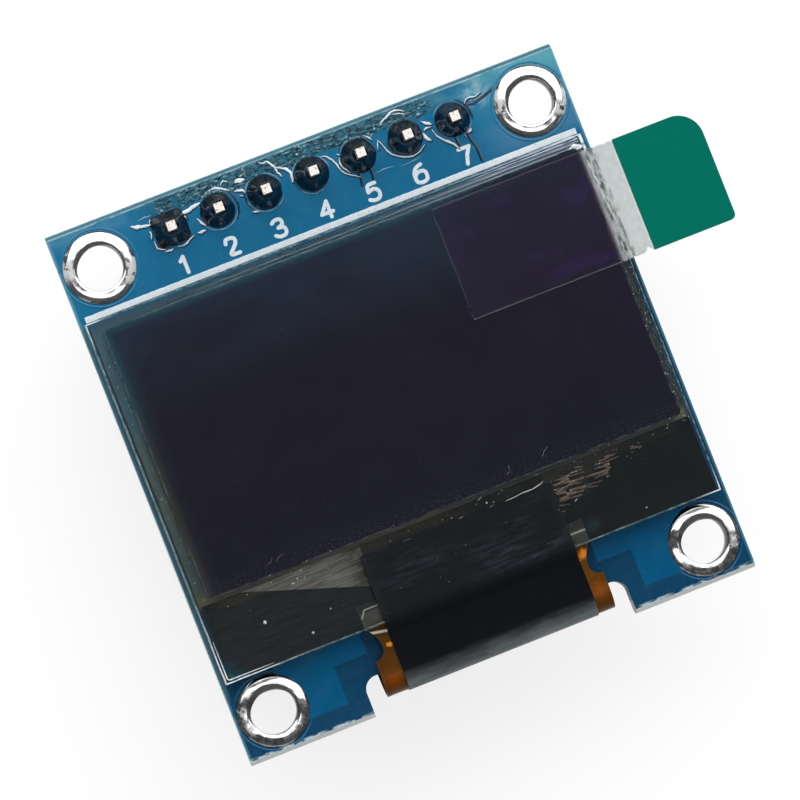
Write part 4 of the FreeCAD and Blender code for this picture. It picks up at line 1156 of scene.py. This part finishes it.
# Flux. Each run is its width and then x and y of its points.
FLUX_RUNS = [
    (0.15, -9.42, 13.24, -9.2, 13.12, -8.85, 13.05, -8.55, 12.98),
    (0.10, -8.5, 12.98, -8.42, 13.18, -8.22, 13.28),
    (0.07, -8.05, 13.2, -7.95, 13.08),
    (0.07, -8.66, 12.7, -8.6, 12.55, -8.7, 12.3),
    (0.06, -8.6, 12.15, -8.62, 11.8, -8.5, 11.66, -8.2, 11.56),
    (0.07, -8.3, 11.46, -8.0, 11.42, -7.85, 11.46),
    (0.07, -7.6, 11.46, -7.3, 11.42, -7.1, 11.48, -6.95, 11.58, -6.65, 11.7),
    (0.17, -6.85, 12.98, -6.5, 12.95, -6.2, 13.06, -5.8, 13.12),
    (0.06, -6.95, 13.1, -6.82, 12.88, -6.68, 12.66),
    (0.09, -5.2, 13.5, -4.95, 13.56, -4.6, 13.48, -4.4, 13.32, -4.15, 13.15),
    (0.06, -4.5, 13.58, -4.3, 13.76, -4.1, 13.6),
    (0.11, -6.18, 12.42, -6.04, 12.12, -5.9, 11.95),
    (0.11, -6.42, 11.74, -6.22, 11.72, -6.0, 11.74),
    (0.26, -3.72, 13.47, -3.5, 13.46, -3.3, 13.42),
    (0.10, -3.95, 13.02, -3.7, 13.0, -3.54, 12.95, -3.48, 12.8),
    (0.12, -3.74, 12.72, -3.64, 12.68),
    (0.07, -3.5, 12.3, -3.46, 12.1),
    (0.08, -3.46, 11.74, -3.3, 11.68, -3.14, 11.64),
    (0.09, -2.3, 13.98, -2.1, 13.8, -1.85, 13.88, -1.75, 13.62, -1.6, 13.45, -1.62, 13.25, -1.5, 13.0,
     -1.44, 12.86),
    (0.12, -1.62, 13.42, -1.3, 13.28, -1.08, 13.12, -0.95, 12.88, -0.97, 12.62, -1.04, 12.42),
    (0.07, 0.75, 13.1, 0.98, 13.03, 1.1, 12.9, 1.3, 12.6, 1.4, 12.3, 1.45, 12.05, 1.7, 11.76, 2.0, 11.58,
     2.25, 11.42),
    (0.12, 0.90, 13.05, 1.0, 13.02),
    (0.12, 1.56, 12.92, 1.66, 12.84),
    (0.06, 1.58, 12.72, 1.53, 12.4, 1.62, 12.1, 1.86, 11.8),
    (0.06, 3.1, 13.34, 3.35, 13.15, 3.48, 12.95),
    (0.07, 3.72, 12.85, 3.9, 12.45, 4.0, 12.1, 4.25, 11.8, 4.6, 11.58, 5.05, 11.43, 5.5, 11.52, 5.85, 11.76),
    (0.05, 3.72, 12.8, 3.62, 12.6, 3.58, 12.35),
    (0.09, 4.1, 13.5, 4.3, 13.68, 4.6, 13.78, 4.9, 13.94, 5.2, 13.92, 5.5, 13.72),
    (0.06, 4.85, 13.8, 5.25, 13.72, 5.5, 13.55),
    (0.13, 6.12, 12.92, 6.3, 12.76, 6.55, 12.62),
    (0.07, 6.1, 12.4, 6.2, 12.55, 6.5, 12.5),
    (0.17, 6.02, 12.3, 6.05, 12.02, 6.24, 11.86),
    (0.09, 6.5, 12.35, 6.55, 12.0, 6.8, 11.7, 7.1, 11.42, 7.3, 11.2, 7.42, 10.98),
    (0.10, 8.14, 11.56, 8.27, 11.6, 8.36, 11.7),
    (0.06, 8.5, 12.98, 8.6, 13.15, 8.85, 13.2, 9.1, 13.1, 9.45, 13.22),
    (0.05, 7.9, 11.5, 8.0, 11.38),
]
FAINT_RUNS = [(0.045, 3.0, 11.32, 3.5, 11.38, 4.0, 11.33), (0.04, 4.3, 11.18, 5.0, 11.22, 5.6, 11.3),
              (0.05, -9.0, 13.4, -8.6, 13.45, -8.3, 13.4), (0.05, 8.3, 13.4, 8.9, 13.42, 9.4, 13.36)]
# Pin number, first and last angle in degrees, radius, width
FLUX_RIMS = [(2, 205, 340, 1.00, 0.06), (2, 35, 150, 0.99, 0.045), (3, 200, 330, 0.98, 0.05),
             (3, 15, 80, 0.96, 0.05), (3, 118, 160, 0.97, 0.06), (4, 118, 165, 0.96, 0.05),
             (4, 2, 55, 0.95, 0.055), (4, 215, 300, 0.99, 0.04), (5, 40, 150, 0.97, 0.05),
             (6, 60, 120, 0.99, 0.04), (7, 95, 150, 0.97, 0.04), (7, 290, 340, 0.97, 0.04)]
DARK_RIMS = [(2, -45, 62, 1.08, 0.13), (3, 148, 235, 1.02, 0.10), (4, 180, 300, 0.97, 0.08),
             (5, 100, 150, 1.02, 0.08), (6, 170, 300, 0.96, 0.09), (7, -20, 62, 1.02, 0.16),
             (1, 0, 50, 1.02, 0.10)]


def ramp(start, end, value):
    """0 at start, 1 at end, straight between them."""
    return np.clip((value - start) / (end - start), 0, 1)


def flux_height(x, y):
    """Height of the flux crust above the pin row."""
    lower = PIN_ROW + 0.66 + 0.12 * np.sin(x * 1.9) + 0.12 * waves(x, y, 1.1, 5)
    zone = ramp(0, 0.16, y - lower) * ramp(PCB_HIGH[1] - 0.235, PCB_HIGH[1] - 0.285, y)
    zone = zone * ramp(-8.3, -7.5, x) * ramp(7.3, 5.7, x)
    patch = np.clip(1.15 + 0.75 * waves(x, y, 1.3, 8), 0, 1)
    skew_x, skew_y = 0.55 * (x + 0.5 * y), y - 0.35 * x
    grains = 0.030 * bumps(skew_x, skew_y, 0.10, 0.6, 3) + 0.022 * bumps(skew_x, skew_y, 0.17, 0.4, 4)
    return BOARD_TOP - 0.008 + zone * patch * (0.020 + grains + 0.012 * waves(x, y, 0.3, 6))


def add_flux(look):
    crust = height_field((-8.4, 7.4), (PIN_ROW + 0.45, PCB_HIGH[1] - 0.225), 0.034, flux_height)
    make("flux_crust", [crust], look)


def drawn_line(line, width, number):
    """A run of flux with uneven sides and thinner ends."""
    line = np.array(chaikin(np.reshape(line, (-1, 2)), 3))
    line = line + 0.012 * np.stack([waves(*line.T, 0.3, number), waves(*line.T, 0.3, number + 50)], 1)
    share = np.linspace(0, 1, len(line))
    swell = 0.35 + 0.65 * np.sqrt(np.sin(math.pi * share).clip(0, 1))
    swell = swell * (1 + 0.22 * waves(*line.T, 0.45, number + 90))
    return line, width * swell.clip(0.25, 1.5)


def joint_arcs(table, seed):
    """Drawn lines round the pins' joints."""
    for number, (pin, first, last, radius, width) in enumerate(table):
        arc = on_circle(PINS[pin - 1], radius, np.radians(np.linspace(first, last, 9)))
        yield number, drawn_line(arc, width, number + seed)


def add_flux_runs(white, faint, dark):
    """Flux drawn out between the joints and painted white as highlights, painted shadows offset below those
    runs, dark arcs round the joints, and thin rims round the joints painted as faint highlights.
    """
    runs, shadows_and_rims = [], []
    for number, (width, *line) in enumerate(FLUX_RUNS):
        line, widths = drawn_line(line, 1.25 * width, number)
        runs.append(ribbon(line, widths, BOARD_TOP + 0.012, 0.030 + 0.001 * number))
        # Each run's painted shadow: a wider dark ribbon offset below it.
        shadows_and_rims.append(ribbon(line + (0.015, -0.035), widths + 0.07, BOARD_TOP, 0.010 + 0.0003 * number))
    shadows_and_rims += [ribbon(*arc, BOARD_TOP, 0.006 + 0.0003 * number)
                for number, arc in joint_arcs(DARK_RIMS, 200)]
    rims = [ribbon(*arc, BOARD_TOP + 0.010, 0.020 + 0.0005 * number)
            for number, arc in joint_arcs(FLUX_RIMS, 300)]
    rims += [ribbon(*drawn_line(line, width, number), BOARD_TOP, 0.012)
             for number, (width, *line) in enumerate(FAINT_RUNS, 400)]
    make("flux_runs", runs, white)
    make("flux_painted_shadows_and_rims", shadows_and_rims, dark)
    make("flux_rims", rims, faint)


def add_copper(look, gap_look):
    """Copper areas and lines under the solder mask, which stand a little above the bare laminate."""
    near, high, low, step = 8.0, -9.6, -13.0, -10.97
    hole, (hole_low, hole_high) = centre(HOLES[3]), box(HOLES[3])
    clear = (hole_high[0] - hole_low[0]) / 2 - 0.06
    first = math.pi + math.asin((hole[1] - low) / clear)
    arc = on_circle(hole, clear, np.linspace(first, 0.62 * math.pi, 24))
    shape = [(6.2, high), (6.2, step), (near, step), (near, low)] + arc + [(arc[-1][0], high)]
    mirrored = [(-x, y) for x, y in shape[::-1]]
    parts = [slab(area, BOARD_TOP, 0.035, 0.05) for area in (mirrored, shape)]
    make("copper_areas_front", parts, look, smooth=False)
    fifth, last = PINS[4][0], PINS[6][0]
    gaps = [[(fifth - 0.30, 11.75), (fifth - 0.30, 11.3), (fifth - 0.36, 11.0)],
            [(fifth + 0.32, 11.75), (fifth + 0.32, 11.3), (fifth + 0.26, 11.0)],
            [(last - 0.15, 11.6), (last - 0.15, 11.2), (last + 0.0, 10.9)],
            [(last + 0.45, 11.8), (last + 0.50, 11.2), (last + 0.66, 10.7), (last + 0.66, 10.0)],
            [(last + 0.9, 12.9), (last + 1.3, 12.82), (last + 1.9, 12.98), (last + 2.5, 13.2)]]
    make("trace_clearances", [ribbon(line, 0.17, BOARD_TOP, 0.004) for line in gaps], gap_look)


# Strokes of each digit, x and y of their points in turn
DIGITS = {
    1: [(0.12, 0.62, 0.30, 0.80, 0.30, 0.0)],
    2: [(0.02, 0.60, 0.06, 0.80, 0.26, 0.82, 0.48, 0.78, 0.50, 0.52, 0.30, 0.30, 0.02, 0.0, 0.52, 0.0)],
    3: [(0.02, 0.72, 0.16, 0.84, 0.46, 0.82, 0.50, 0.52, 0.22, 0.42),
        (0.22, 0.42, 0.54, 0.40, 0.54, 0.02, 0.20, -0.04, 0.0, 0.10)],
    4: [(0.40, 0.0, 0.40, 0.80, 0.0, 0.24, 0.56, 0.24)],
    5: [(0.48, 0.80, 0.08, 0.80, 0.05, 0.44),
        (0.05, 0.44, 0.30, 0.56, 0.56, 0.40, 0.52, 0.02, 0.20, -0.04, 0.0, 0.08)],
    6: [(0.44, 0.82, 0.16, 0.74, 0.0, 0.46, 0.0, 0.22),
        (0.0, 0.26, 0.02, 0.02, 0.28, -0.06, 0.54, 0.02, 0.56, 0.24),
        (0.56, 0.22, 0.54, 0.46, 0.30, 0.52, 0.08, 0.44, 0.0, 0.26)],
    7: [(0.0, 0.80, 0.52, 0.80, 0.30, 0.42, 0.18, 0.0)],
}
SHARP_DIGITS = (1, 4, 7)


def digit(number, x, y, width, base, height):
    """One pin number drawn with a round pen, centred on x, standing on y. Crossing strokes differ in height."""
    lines = []
    for stroke in DIGITS[number]:
        line = np.reshape(stroke, (-1, 2))
        lines += list(zip(line, line[1:])) if number in SHARP_DIGITS else [chaikin(line, 3)]
    places = [[(1.08 * p[0] + x - 0.29, 1.04 * p[1] + y) for p in line] for line in lines]
    return joined([ribbon(line, width, base, height * (1 + 0.12 * k)) for k, line in enumerate(places)])


def add_ink(look):
    """The printed line above the display and plain pin numbers."""
    dice = random.Random(4)
    across = np.linspace(-13.28, 13.27, 240)
    lower = [(x, GLASS_HIGH[1] + 0.10 + dice.uniform(-0.008, 0.008)) for x in across]
    upper = [(x, GLASS_HIGH[1] + 0.42 + dice.uniform(-0.008, 0.008)) for x in across[::-1]]
    parts = [slab(lower + upper, BOARD_TOP, 0.02, 0.012)]
    parts += [digit(number, pin[0] + 0.02, 10.08, 0.20, BOARD_TOP, 0.018)
              for number, pin in enumerate(PINS, 1)]
    make("printed_marks_front", parts, look, smooth=False)


def add_ledge(film, fan):
    """Seen through the bare ledge: a dark sheet round the cable and the chip, and two fans of conductors."""
    under = GLASS_LOW[2] - 0.012
    top, bottom, step = POLARIZER_LOW[1] - 0.21, GLASS_LOW[1] + 0.10, GLASS_LOW[1] + 1.23
    (chip_left, _, _), (chip_right, chip_top, _) = (c + 0.05 * s for c, s in zip(box("driver_chip"), (-1, 1)))
    cable_left, cable_right = centre("flex_cable")[0] - 6.08, centre("flex_cable")[0] + 6.08
    shape = [(-13.14, top), (-13.14, bottom), (cable_left, bottom), (cable_left, step), (chip_left, step),
             (chip_left, chip_top), (chip_right, chip_top), (chip_right, step),
             (cable_right, step), (cable_right, bottom), (13.10, bottom), (13.10, top)]
    make("ledge_dark_sheet", [slab(shape, under, 0.006, 0.01)], film, smooth=False)
    fans = [[(-11.1, top), (-4.7, -7.95), (-4.7, top)], [(5.1, -7.85), (9.6, top), (5.1, top)]]
    make("fan_out_lines", [slab(shape, under + 0.006, 0.003, 0.005) for shape in fans], fan, smooth=False)


def add_glass_edges(look):
    """The ground edge round the front glass, catching the light at its corners."""
    (x0, y0, _), (x1, y1, _) = GLASS_LOW + 0.045, GLASS_HIGH - 0.045
    parts = []
    for a, b in sides_of(rectangle(x0, y0, x1, y1)):
        line = np.array(divided(a, b, 0.2))
        sway = 0.010 * waves(*line.T, 1.6, 17, 3)
        line = line + sway[:, None] * (a[0] == b[0], a[1] == b[1])
        parts.append(ribbon(line, 0.06, ON_GLASS, 0.012))
    inner = [(0.14, 2.2), (0.14, 1.0), (0.14, 0.22), (0.22, 0.14), (1.2, 0.14), (2.6, 0.14)]
    widths = [0.02, 0.05, 0.06, 0.06, 0.05, 0.02]
    parts.append(ribbon([(x0 + x, y0 + y) for x, y in inner], widths, ON_GLASS, 0.008))
    parts.append(ribbon([(x1 - 0.06, y1 - 0.05), (x1 - 0.06, y1 - 0.9)], [0.16, 0.05], ON_GLASS, 0.014))
    blob = [(x1 - 0.85, y1 - 0.62), (x1 - 0.5, y1 - 0.52), (x1 - 0.22, y1 - 0.60)]
    parts.append(ribbon(blob, [0.16, 0.36, 0.20], ON_GLASS, 0.010))
    make("glass_ground_edge", parts, look)


def add_border_lines(look):
    """The panel's upper border as it shows in the glass: a few pale lines that come and go."""
    parts = []
    lines = [(0.10, 1.5, 12.9, 0.05), (0.22, 6.0, 12.95, 0.09), (0.40, -9.0, 12.6, 0.035),
             (0.58, -12.4, 11.8, 0.03)]
    for number, (below, first, last, width) in enumerate(lines):
        across = np.linspace(first, last, 120)
        sway = 0.010 * waves(across, across * 0, 2.5, 60 + number)
        line = np.stack([across, GLASS_HIGH[1] - below + sway], 1)
        widths = width * (1 + 0.5 * waves(across, across * 0, 1.3, 70 + number)).clip(0.2, 1.6)
        parts.append(ribbon(line, widths * np.clip((across - first) / 5, 0.15, 1), ON_GLASS, 0.006))
    make("border_reflections", parts, look)


def wrinkle_height(x, y):
    """Folds of dry glue running out from the tape's upper corner and fading along the ledge."""
    along = (x - 5.35) / 4.9
    middle = -7.0 + 0.75 * along
    mask = np.clip(1.25 - along, 0, 1) * np.clip(1.3 - np.abs(y - middle) / (0.95 - 0.45 * along), 0, 1)
    mask = mask * np.clip(0.9 + 0.9 * waves(x, y, 1.3, 44), 0, 1.2)
    folds = waves(x * 0.12, (y + 0.02 * x) * 1.3, 0.50, 41, 2)
    ridge = np.clip(1 - 3.0 * np.abs(folds), 0, 1) ** 1.2
    return GLASS_HIGH[2] - 0.014 + 0.050 * mask * ridge


def add_wrinkles(look):
    """Only the parts of the glue that stand out of the glass are kept."""
    points, faces = height_field((5.36, 10.6), (-8.2, POLARIZER_LOW[1] - 0.03), 0.035, wrinkle_height)
    faces = [f for f in faces if max(points[i][2] for i in f) > GLASS_HIGH[2]]
    make("dry_glue_wrinkles", [(points, faces)], look)


# Single grains on the glass: x, y and size
GRAINS = [(-10.5, -7.65, 0.10), (-8.45, -9.0, 0.07), (-8.5, -6.35, 0.07), (-8.2, -6.2, 0.06),
          (-7.9, -5.9, 0.05), (-7.2, -8.2, 0.05), (2.0, -6.15, 0.06), (9.4, -9.3, 0.05)]
# How many grains are strewn, and the ranges of their x, y and size
STREWN = [(44, (-12.6, 12.9), (-6.3, -5.5), (0.012, 0.035)),
          (34, (-12.6, 12.9), (-9.6, -6.2), (0.008, 0.018)),
          (36, (12.7, 13.2), (-6.0, 2.5), (0.015, 0.035)),
          (30, (-13.1, -12.7), (-6.0, 8.0), (0.015, 0.035))]


def surface_at(x, y):
    """The height of what lies uppermost at a place on the display."""
    if POLARIZER_LOW[0] < x < POLARIZER_HIGH[0] and y > POLARIZER_LOW[1]:
        return POLARIZER_HIGH[2]
    return TAPE_HIGH[2] if TAPE_LOW[0] < x < TAPE_HIGH[0] and y < TAPE_HIGH[1] else GLASS_HIGH[2]


def grain_of_dust(dice, x, y, size):
    """A low seven-sided crumb."""
    sides, base = 7, surface_at(x, y)
    ring = []
    for a in (2 * math.pi * i / sides for i in range(sides)):
        across, along = size * dice.uniform(0.6, 1.2), size * dice.uniform(0.6, 1.2)
        ring.append((x + across * math.cos(a), y + along * math.sin(a), base))
    crown = [(x + (px - x) * 0.55, y + (py - y) * 0.55, base + size * 0.45) for px, py, _ in ring]
    faces = quads(2, sides, closed=True, turned=True)
    faces += [(sides + i, sides + (i + 1) % sides, 2 * sides) for i in range(sides)]
    return ring + crown + [(x, y, base + size * 0.6)], faces


def add_dust(look):
    """Grains and lint on the glass, the film's edges and the tape."""
    dice = random.Random(21)
    grains = list(GRAINS)
    for count, *ranges in STREWN:
        grains += [[dice.uniform(*limits) for limits in ranges] for _ in range(count)]
    parts = [grain_of_dust(dice, *grain) for grain in grains]
    for _ in range(4):
        x, y = dice.uniform(-12.0, 12.4), dice.uniform(-5.55, -5.0)
        turn = dice.uniform(0, math.pi)
        line = [(x, y)]
        for _ in range(5):
            turn += dice.uniform(-0.5, 0.5)
            x, y = x + 0.11 * math.cos(turn), max(y + 0.11 * math.sin(turn), POLARIZER_LOW[1] + 0.03)
            line.append((x, y))
        parts.append(ribbon(chaikin(line, 2), 0.006, POLARIZER_HIGH[2], 0.003))
    make("dust_and_lint", parts, look)


def add_tape_creases(look):
    """The tape's crumpled upper edge on the glass and a few spots on the glass near it, where painted glints
    stand for the light they catch.
    """
    tape = TAPE_HIGH[2] - SUNK
    creases = [(tape, 0.045, 2.9, -6.42, 3.4, -6.40, 3.75, -6.35, 4.4, -6.36, 4.8, -6.28, 5.05, -6.16),
               (tape, 0.04, 0.42, -6.38, 0.62, -6.36), (tape, 0.03, 2.05, -6.40, 2.3, -6.38),
               (tape, 0.02, -2.6, -6.42, -2.2, -6.40), (ON_GLASS, 0.08, 1.66, -5.86, 1.84, -5.80),
               (ON_GLASS + 0.03, 0.08, 6.12, -7.10, 6.2, -7.14),
               (ON_GLASS + 0.03, 0.11, 6.16, -7.70, 6.3, -7.64)]
    parts = [ribbon(*drawn_line(line, width, number), base, 0.012)
             for number, (base, width, *line) in enumerate(creases, 500)]
    make("tape_edge_crease", parts, look)


def film_height(x, y):
    """Middle of the clear strip: flat on the display, wrinkled where it bends, level under the tab."""
    flat, level = FILM_HIGH[2] - 0.025, FILM_LOW[2] + 0.025
    t = ramp(POLARIZER_HIGH[0] + 0.3, TAB_LOW[0] - 0.35, x)
    near = np.exp(-((x - POLARIZER_HIGH[0] - 0.42) / 0.30) ** 2)
    folds = 0.5 * waves(x * 2.2, y * 0.35, 1.0, 31, 2) + 0.6 * waves(x, y, 0.7, 32, 3)
    wrinkles = near * 0.045 * np.clip(folds, -1, 1)
    return flat + (level - flat) * (3 * t * t - 2 * t ** 3) + wrinkles - 0.012 * near


def uneven_edges(points):
    """The strip's free end, its long edges drawn in a little and ragged next to the tab."""
    middle, reach = (FILM_LOW[1] + FILM_HIGH[1]) / 2, (FILM_HIGH[1] - FILM_LOW[1]) / 2
    moved = []
    for x, y, z in points:
        share = (y - middle) / reach
        ragged = 0.03 * (1 + float(waves(x, share, 0.35, 33, 2))) * float(ramp(13.2, 13.5, x))
        bite = 0.24 * math.exp(-((x - TAB_LOW[0] + 0.28) / 0.15) ** 2) if share < 0 else 0.0
        moved.append((x, y - math.copysign(1, share) * abs(share) ** 6 * (ragged + bite), z))
    return moved


def add_film(look):
    """The clear strip, as a thin closed sheet with slightly uneven long edges."""
    half, step = 0.012, 0.09
    top, under = (height_field((FILM_LOW[0], FILM_HIGH[0]), (FILM_LOW[1], FILM_HIGH[1]), step,
                               lambda x, y: film_height(x, y) + way * half) for way in (1, -1))
    count = len(top[0])
    wide = int(round((FILM_HIGH[0] - FILM_LOW[0]) / step)) + 1
    tall = count // wide
    rim = list(range(wide)) + [(k + 1) * wide - 1 for k in range(1, tall)]
    rim += [(tall - 1) * wide + k for k in range(wide - 2, -1, -1)]
    rim += [k * wide for k in range(tall - 2, 0, -1)]
    points, faces = joined([top, (under[0], flipped(under[1]))])
    faces += [(a, count + a, count + b, b) for a, b in sides_of(rim)]
    make("clear_pull_strip", [(uneven_edges(points), faces)], look, replaces="pull_film")


def film_crease(line, width):
    """A crease that lies on the clear strip."""
    points, faces = ribbon(chaikin(line, 2), width, 0.0, 0.012)
    return [(x, y, z + 0.011 + float(film_height(x, y))) for x, y, z in points], faces


def fold_at(y):
    """Where the strip bends most, across it."""
    return POLARIZER_HIGH[0] + 0.62 - 0.40 * (y - FILM_LOW[1]) / (FILM_HIGH[1] - FILM_LOW[1])


def add_film_creases(look):
    """Creases where the strip bends over the edge of the glass, their silvery look a painted highlight."""
    dice = random.Random(8)
    spine, y = [], FILM_LOW[1] + 0.05
    while y < FILM_HIGH[1] - 0.4:
        spine.append((fold_at(y) + dice.uniform(-0.05, 0.05), y))
        y += dice.uniform(0.18, 0.34)
    parts = [film_crease(spine, 0.07)]
    for _ in range(16):
        y = dice.uniform(FILM_LOW[1] + 0.2, FILM_HIGH[1] - 0.5)
        x = fold_at(y) + dice.uniform(-0.12, 0.12)
        length, lean = dice.uniform(0.25, 0.8), dice.uniform(-0.25, 0.45)
        line = [(x + lean * length * k / 4 + dice.uniform(-0.02, 0.02), y + length * (k / 4 - 0.5))
                for k in range(5)]
        parts.append(film_crease(line, dice.uniform(0.02, 0.045)))
    make("film_creases", parts, look)


def add_tab_edge(look):
    """The white line along the tab's inner edge."""
    x = TAB_LOW[0] - 0.052
    along = np.linspace(FILM_LOW[1] + 0.06, FILM_HIGH[1] - 0.06, 30)
    line = [(x + 0.004 * math.sin(5 * y), y) for y in along]
    make("tab_edge_line", [ribbon(line, 0.10, FILM_LOW[2] + 0.038, 0.05)], look)


# Pieces on the back

def add_chips(body_look, tin, start, share, swell):
    """Chip parts with metal ends: each a cap a little larger than the body, over a share of its length."""
    for node in nodes_like(start):
        low, high = box(node)
        reach = (high[1] - low[1]) * share
        body = block(low + [swell, 0.02, swell], high - [swell, 0.02, 0.0], 0.03)
        ends = [block(low, (high[0], low[1] + reach, high[2]), 0.045),
                block((low[0], high[1] - reach, low[2]), high, 0.045)]
        thing = make(f"{node}_part", [body, *ends], body_look, replaces=node)
        thing.data.materials.append(tin.material)
        for face in thing.data.polygons[len(body[1]):]:
            face.material_index = 1


def fillet(x, y, width, reach, height, way):
    """A solder fillet at the end of a chip part: hollow slope from the pad up the metal end."""
    steps, points = 7, []
    for share in (k / steps for k in range(steps + 1)):
        half, out = width / 2 * (1 + 0.18 * (1 - share)), y + way * reach * (1 - share)
        points += [(x + side * half, out, BOARD_BACK - height * share ** 2.2) for side in (-1, 1)]
    corner = len(points)
    points += [(x - width / 2, y, BOARD_BACK), (x + width / 2, y, BOARD_BACK)]
    faces = quads(steps + 1, 2, turned=way > 0)
    return points, faces + [(*range(side, corner, 2), corner + side) for side in (0, 1)]


def pad(x, y, half, way, inward, outward):
    """A solder pad on the back round the end of a part at y."""
    a, b = sorted((y - way * inward, y + way * outward))
    return slab(rectangle(x - half, a, x + half, b)[::-1], BOARD_BACK, -0.02, 0.02)


def add_fillets(look):
    """Pads with their fillets of solder under the chip parts and the regulator's leads."""
    parts = []
    for node in CHIPS:
        low, high = box(node)
        x, width, height = centre(node)[0], high[0] - low[0], 0.5 if node.startswith("capacitor") else 0.3
        ends = ((high[1], 1), (low[1], -1))
        parts += [fillet(x, y - way * 0.01, width, 0.30, height, way) for y, way in ends]
        parts += [pad(x, y, width * 0.62, way, 0.25, 0.40) for y, way in ends]
    for node in nodes_like("regulator_lead_"):
        low, high = box(node)
        x, y, _ = centre(node)
        way = 1 if y > centre("regulator_body")[1] else -1
        end = high[1] if way > 0 else low[1]
        parts.append(fillet(x, end - way * 0.01, high[0] - low[0], 0.22, 0.16, way))
        parts.append(pad(x, end, 0.34, way, 0.45, 0.35))
    make("pad_solder_back", parts, look, smooth=False)


def add_back_traces(copper):
    """Raised copper lines under the mask on the back, from the header to the parts and the cable."""
    lines = []
    for number, (x, _, _) in enumerate(PINS):
        odd, inward, last = number % 2, x * 0.86, 2.6 + 0.55 * (number % 3)
        lines.append([(x, 11.2), (x, 9.2 - 0.4 * odd), (inward, 7.6 - 0.3 * odd), (inward, last)])
    for node in CHIPS:
        x, (low, high) = centre(node)[0], box(node)
        if node.startswith("capacitor"):
            lines.append([(x, low[1] - 0.2), (x, -6.4), (x * 0.96, -6.9)])
            lines.append([(x, high[1] + 0.2), (x, -2.6), (x * 0.9, -1.9)])
        else:
            lines.append([(x, high[1] + 0.2), (x, 1.9), (x + 0.4, 2.4)])
    make("copper_lines_back", [ribbon(line, 0.26, BOARD_BACK, -0.03) for line in lines], copper)


def add_back_ink(look):
    """Printed frames round the parts on the back, and the pin numbers."""
    frames = [(node, 0.28, 0.52) for node in CHIPS]
    frames += [("regulator_body", 0.3, 0.95), ("header_housing", 0.22, 0.22)]
    parts = []
    for node, dx, dy in frames:
        low, high = box(node)
        corners = rectangle(low[0] - dx, low[1] - dy, high[0] + dx, high[1] + dy)
        line = [np.array(a) * (1 - s) + np.array(b) * s for a, b in sides_of(corners) for s in (0.02, 0.98)]
        parts.append(ribbon(line, 0.13, BOARD_BACK, -0.015, closed=True))
    for number, pin in enumerate(PINS, 1):
        points, faces = digit(number, 0, 0, 0.15, BOARD_BACK, -0.015)
        parts.append(([(pin[0] - x, 9.6 + y, z) for x, y, z in points], flipped(faces)))
    make("printed_marks_back", parts, look, smooth=False)


def dress_nodes(looks):
    """The frame's own nodes get their finished materials."""
    for start, look in looks.items():
        for node in nodes_like(start):
            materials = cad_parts[node].data.materials
            materials.clear()
            materials.append(look.material)


add_camera()
add_light()
add_floor()
tin = tin_look()
solder = solder_look()
copper = copper_under_mask_look()
ink = ink_look()
glue = debris_look()
dust_and_glints = dust_and_glint_look()
dress_nodes({
    "pcb": board_look(),
    "header_housing": housing_look(),
    "header_pin": pin_look(),
    "panel_adhesive": adhesive_look(),
    "cap_glass": glass_look("cap_glass_clear", (0.93, 0.98, 0.95), (0.80, 0.90, 0.84)),
    "desiccant_sheet": desiccant_look(),
    "seal_bead": seal_look(),
    "emitter_layer": emitter_look(),
    "polarizer": polarizer_look(),
    "driver_chip": silicon_look(),
    "flex_cable": cable_look(),
    "light_shield_tape": tape_look(),
    "flex_solder_row": solder,
    "pull_tab": tab_look(),
    "regulator_body": epoxy_look(),
    "regulator_lead": tin,
})
add_front_glass(glass_look("front_glass_clear", (0.95, 0.985, 0.97), (0.86, 0.94, 0.90)))
add_rings(tin)
add_mask_rims(copper)
add_solder(solder)
add_flux(flux_look())
add_flux_runs(flux_runs_highlight_look(), faint_flux_highlight_look(), dark_gap_and_shadow_look())
add_copper(copper, dark_gap_and_shadow_look())
add_ink(ink)
add_ledge(ledge_film_look(), fan_look())
add_glass_edges(ground_glass_look())
add_border_lines(border_line_look())
add_wrinkles(glue)
add_dust(dust_and_glints)
add_tape_creases(dust_and_glints)
add_film(film_look())
add_film_creases(dust_and_glints)
add_tab_edge(white_edge_line_look())
add_chips(ceramic_look(), tin, "capacitor_", 0.27, 0.03)
add_chips(resistor_look(), tin, "resistor_", 0.24, 0.02)
add_fillets(solder)
add_back_traces(copper)
add_back_ink(ink)
bpy.context.scene.view_settings.view_transform = "Standard"
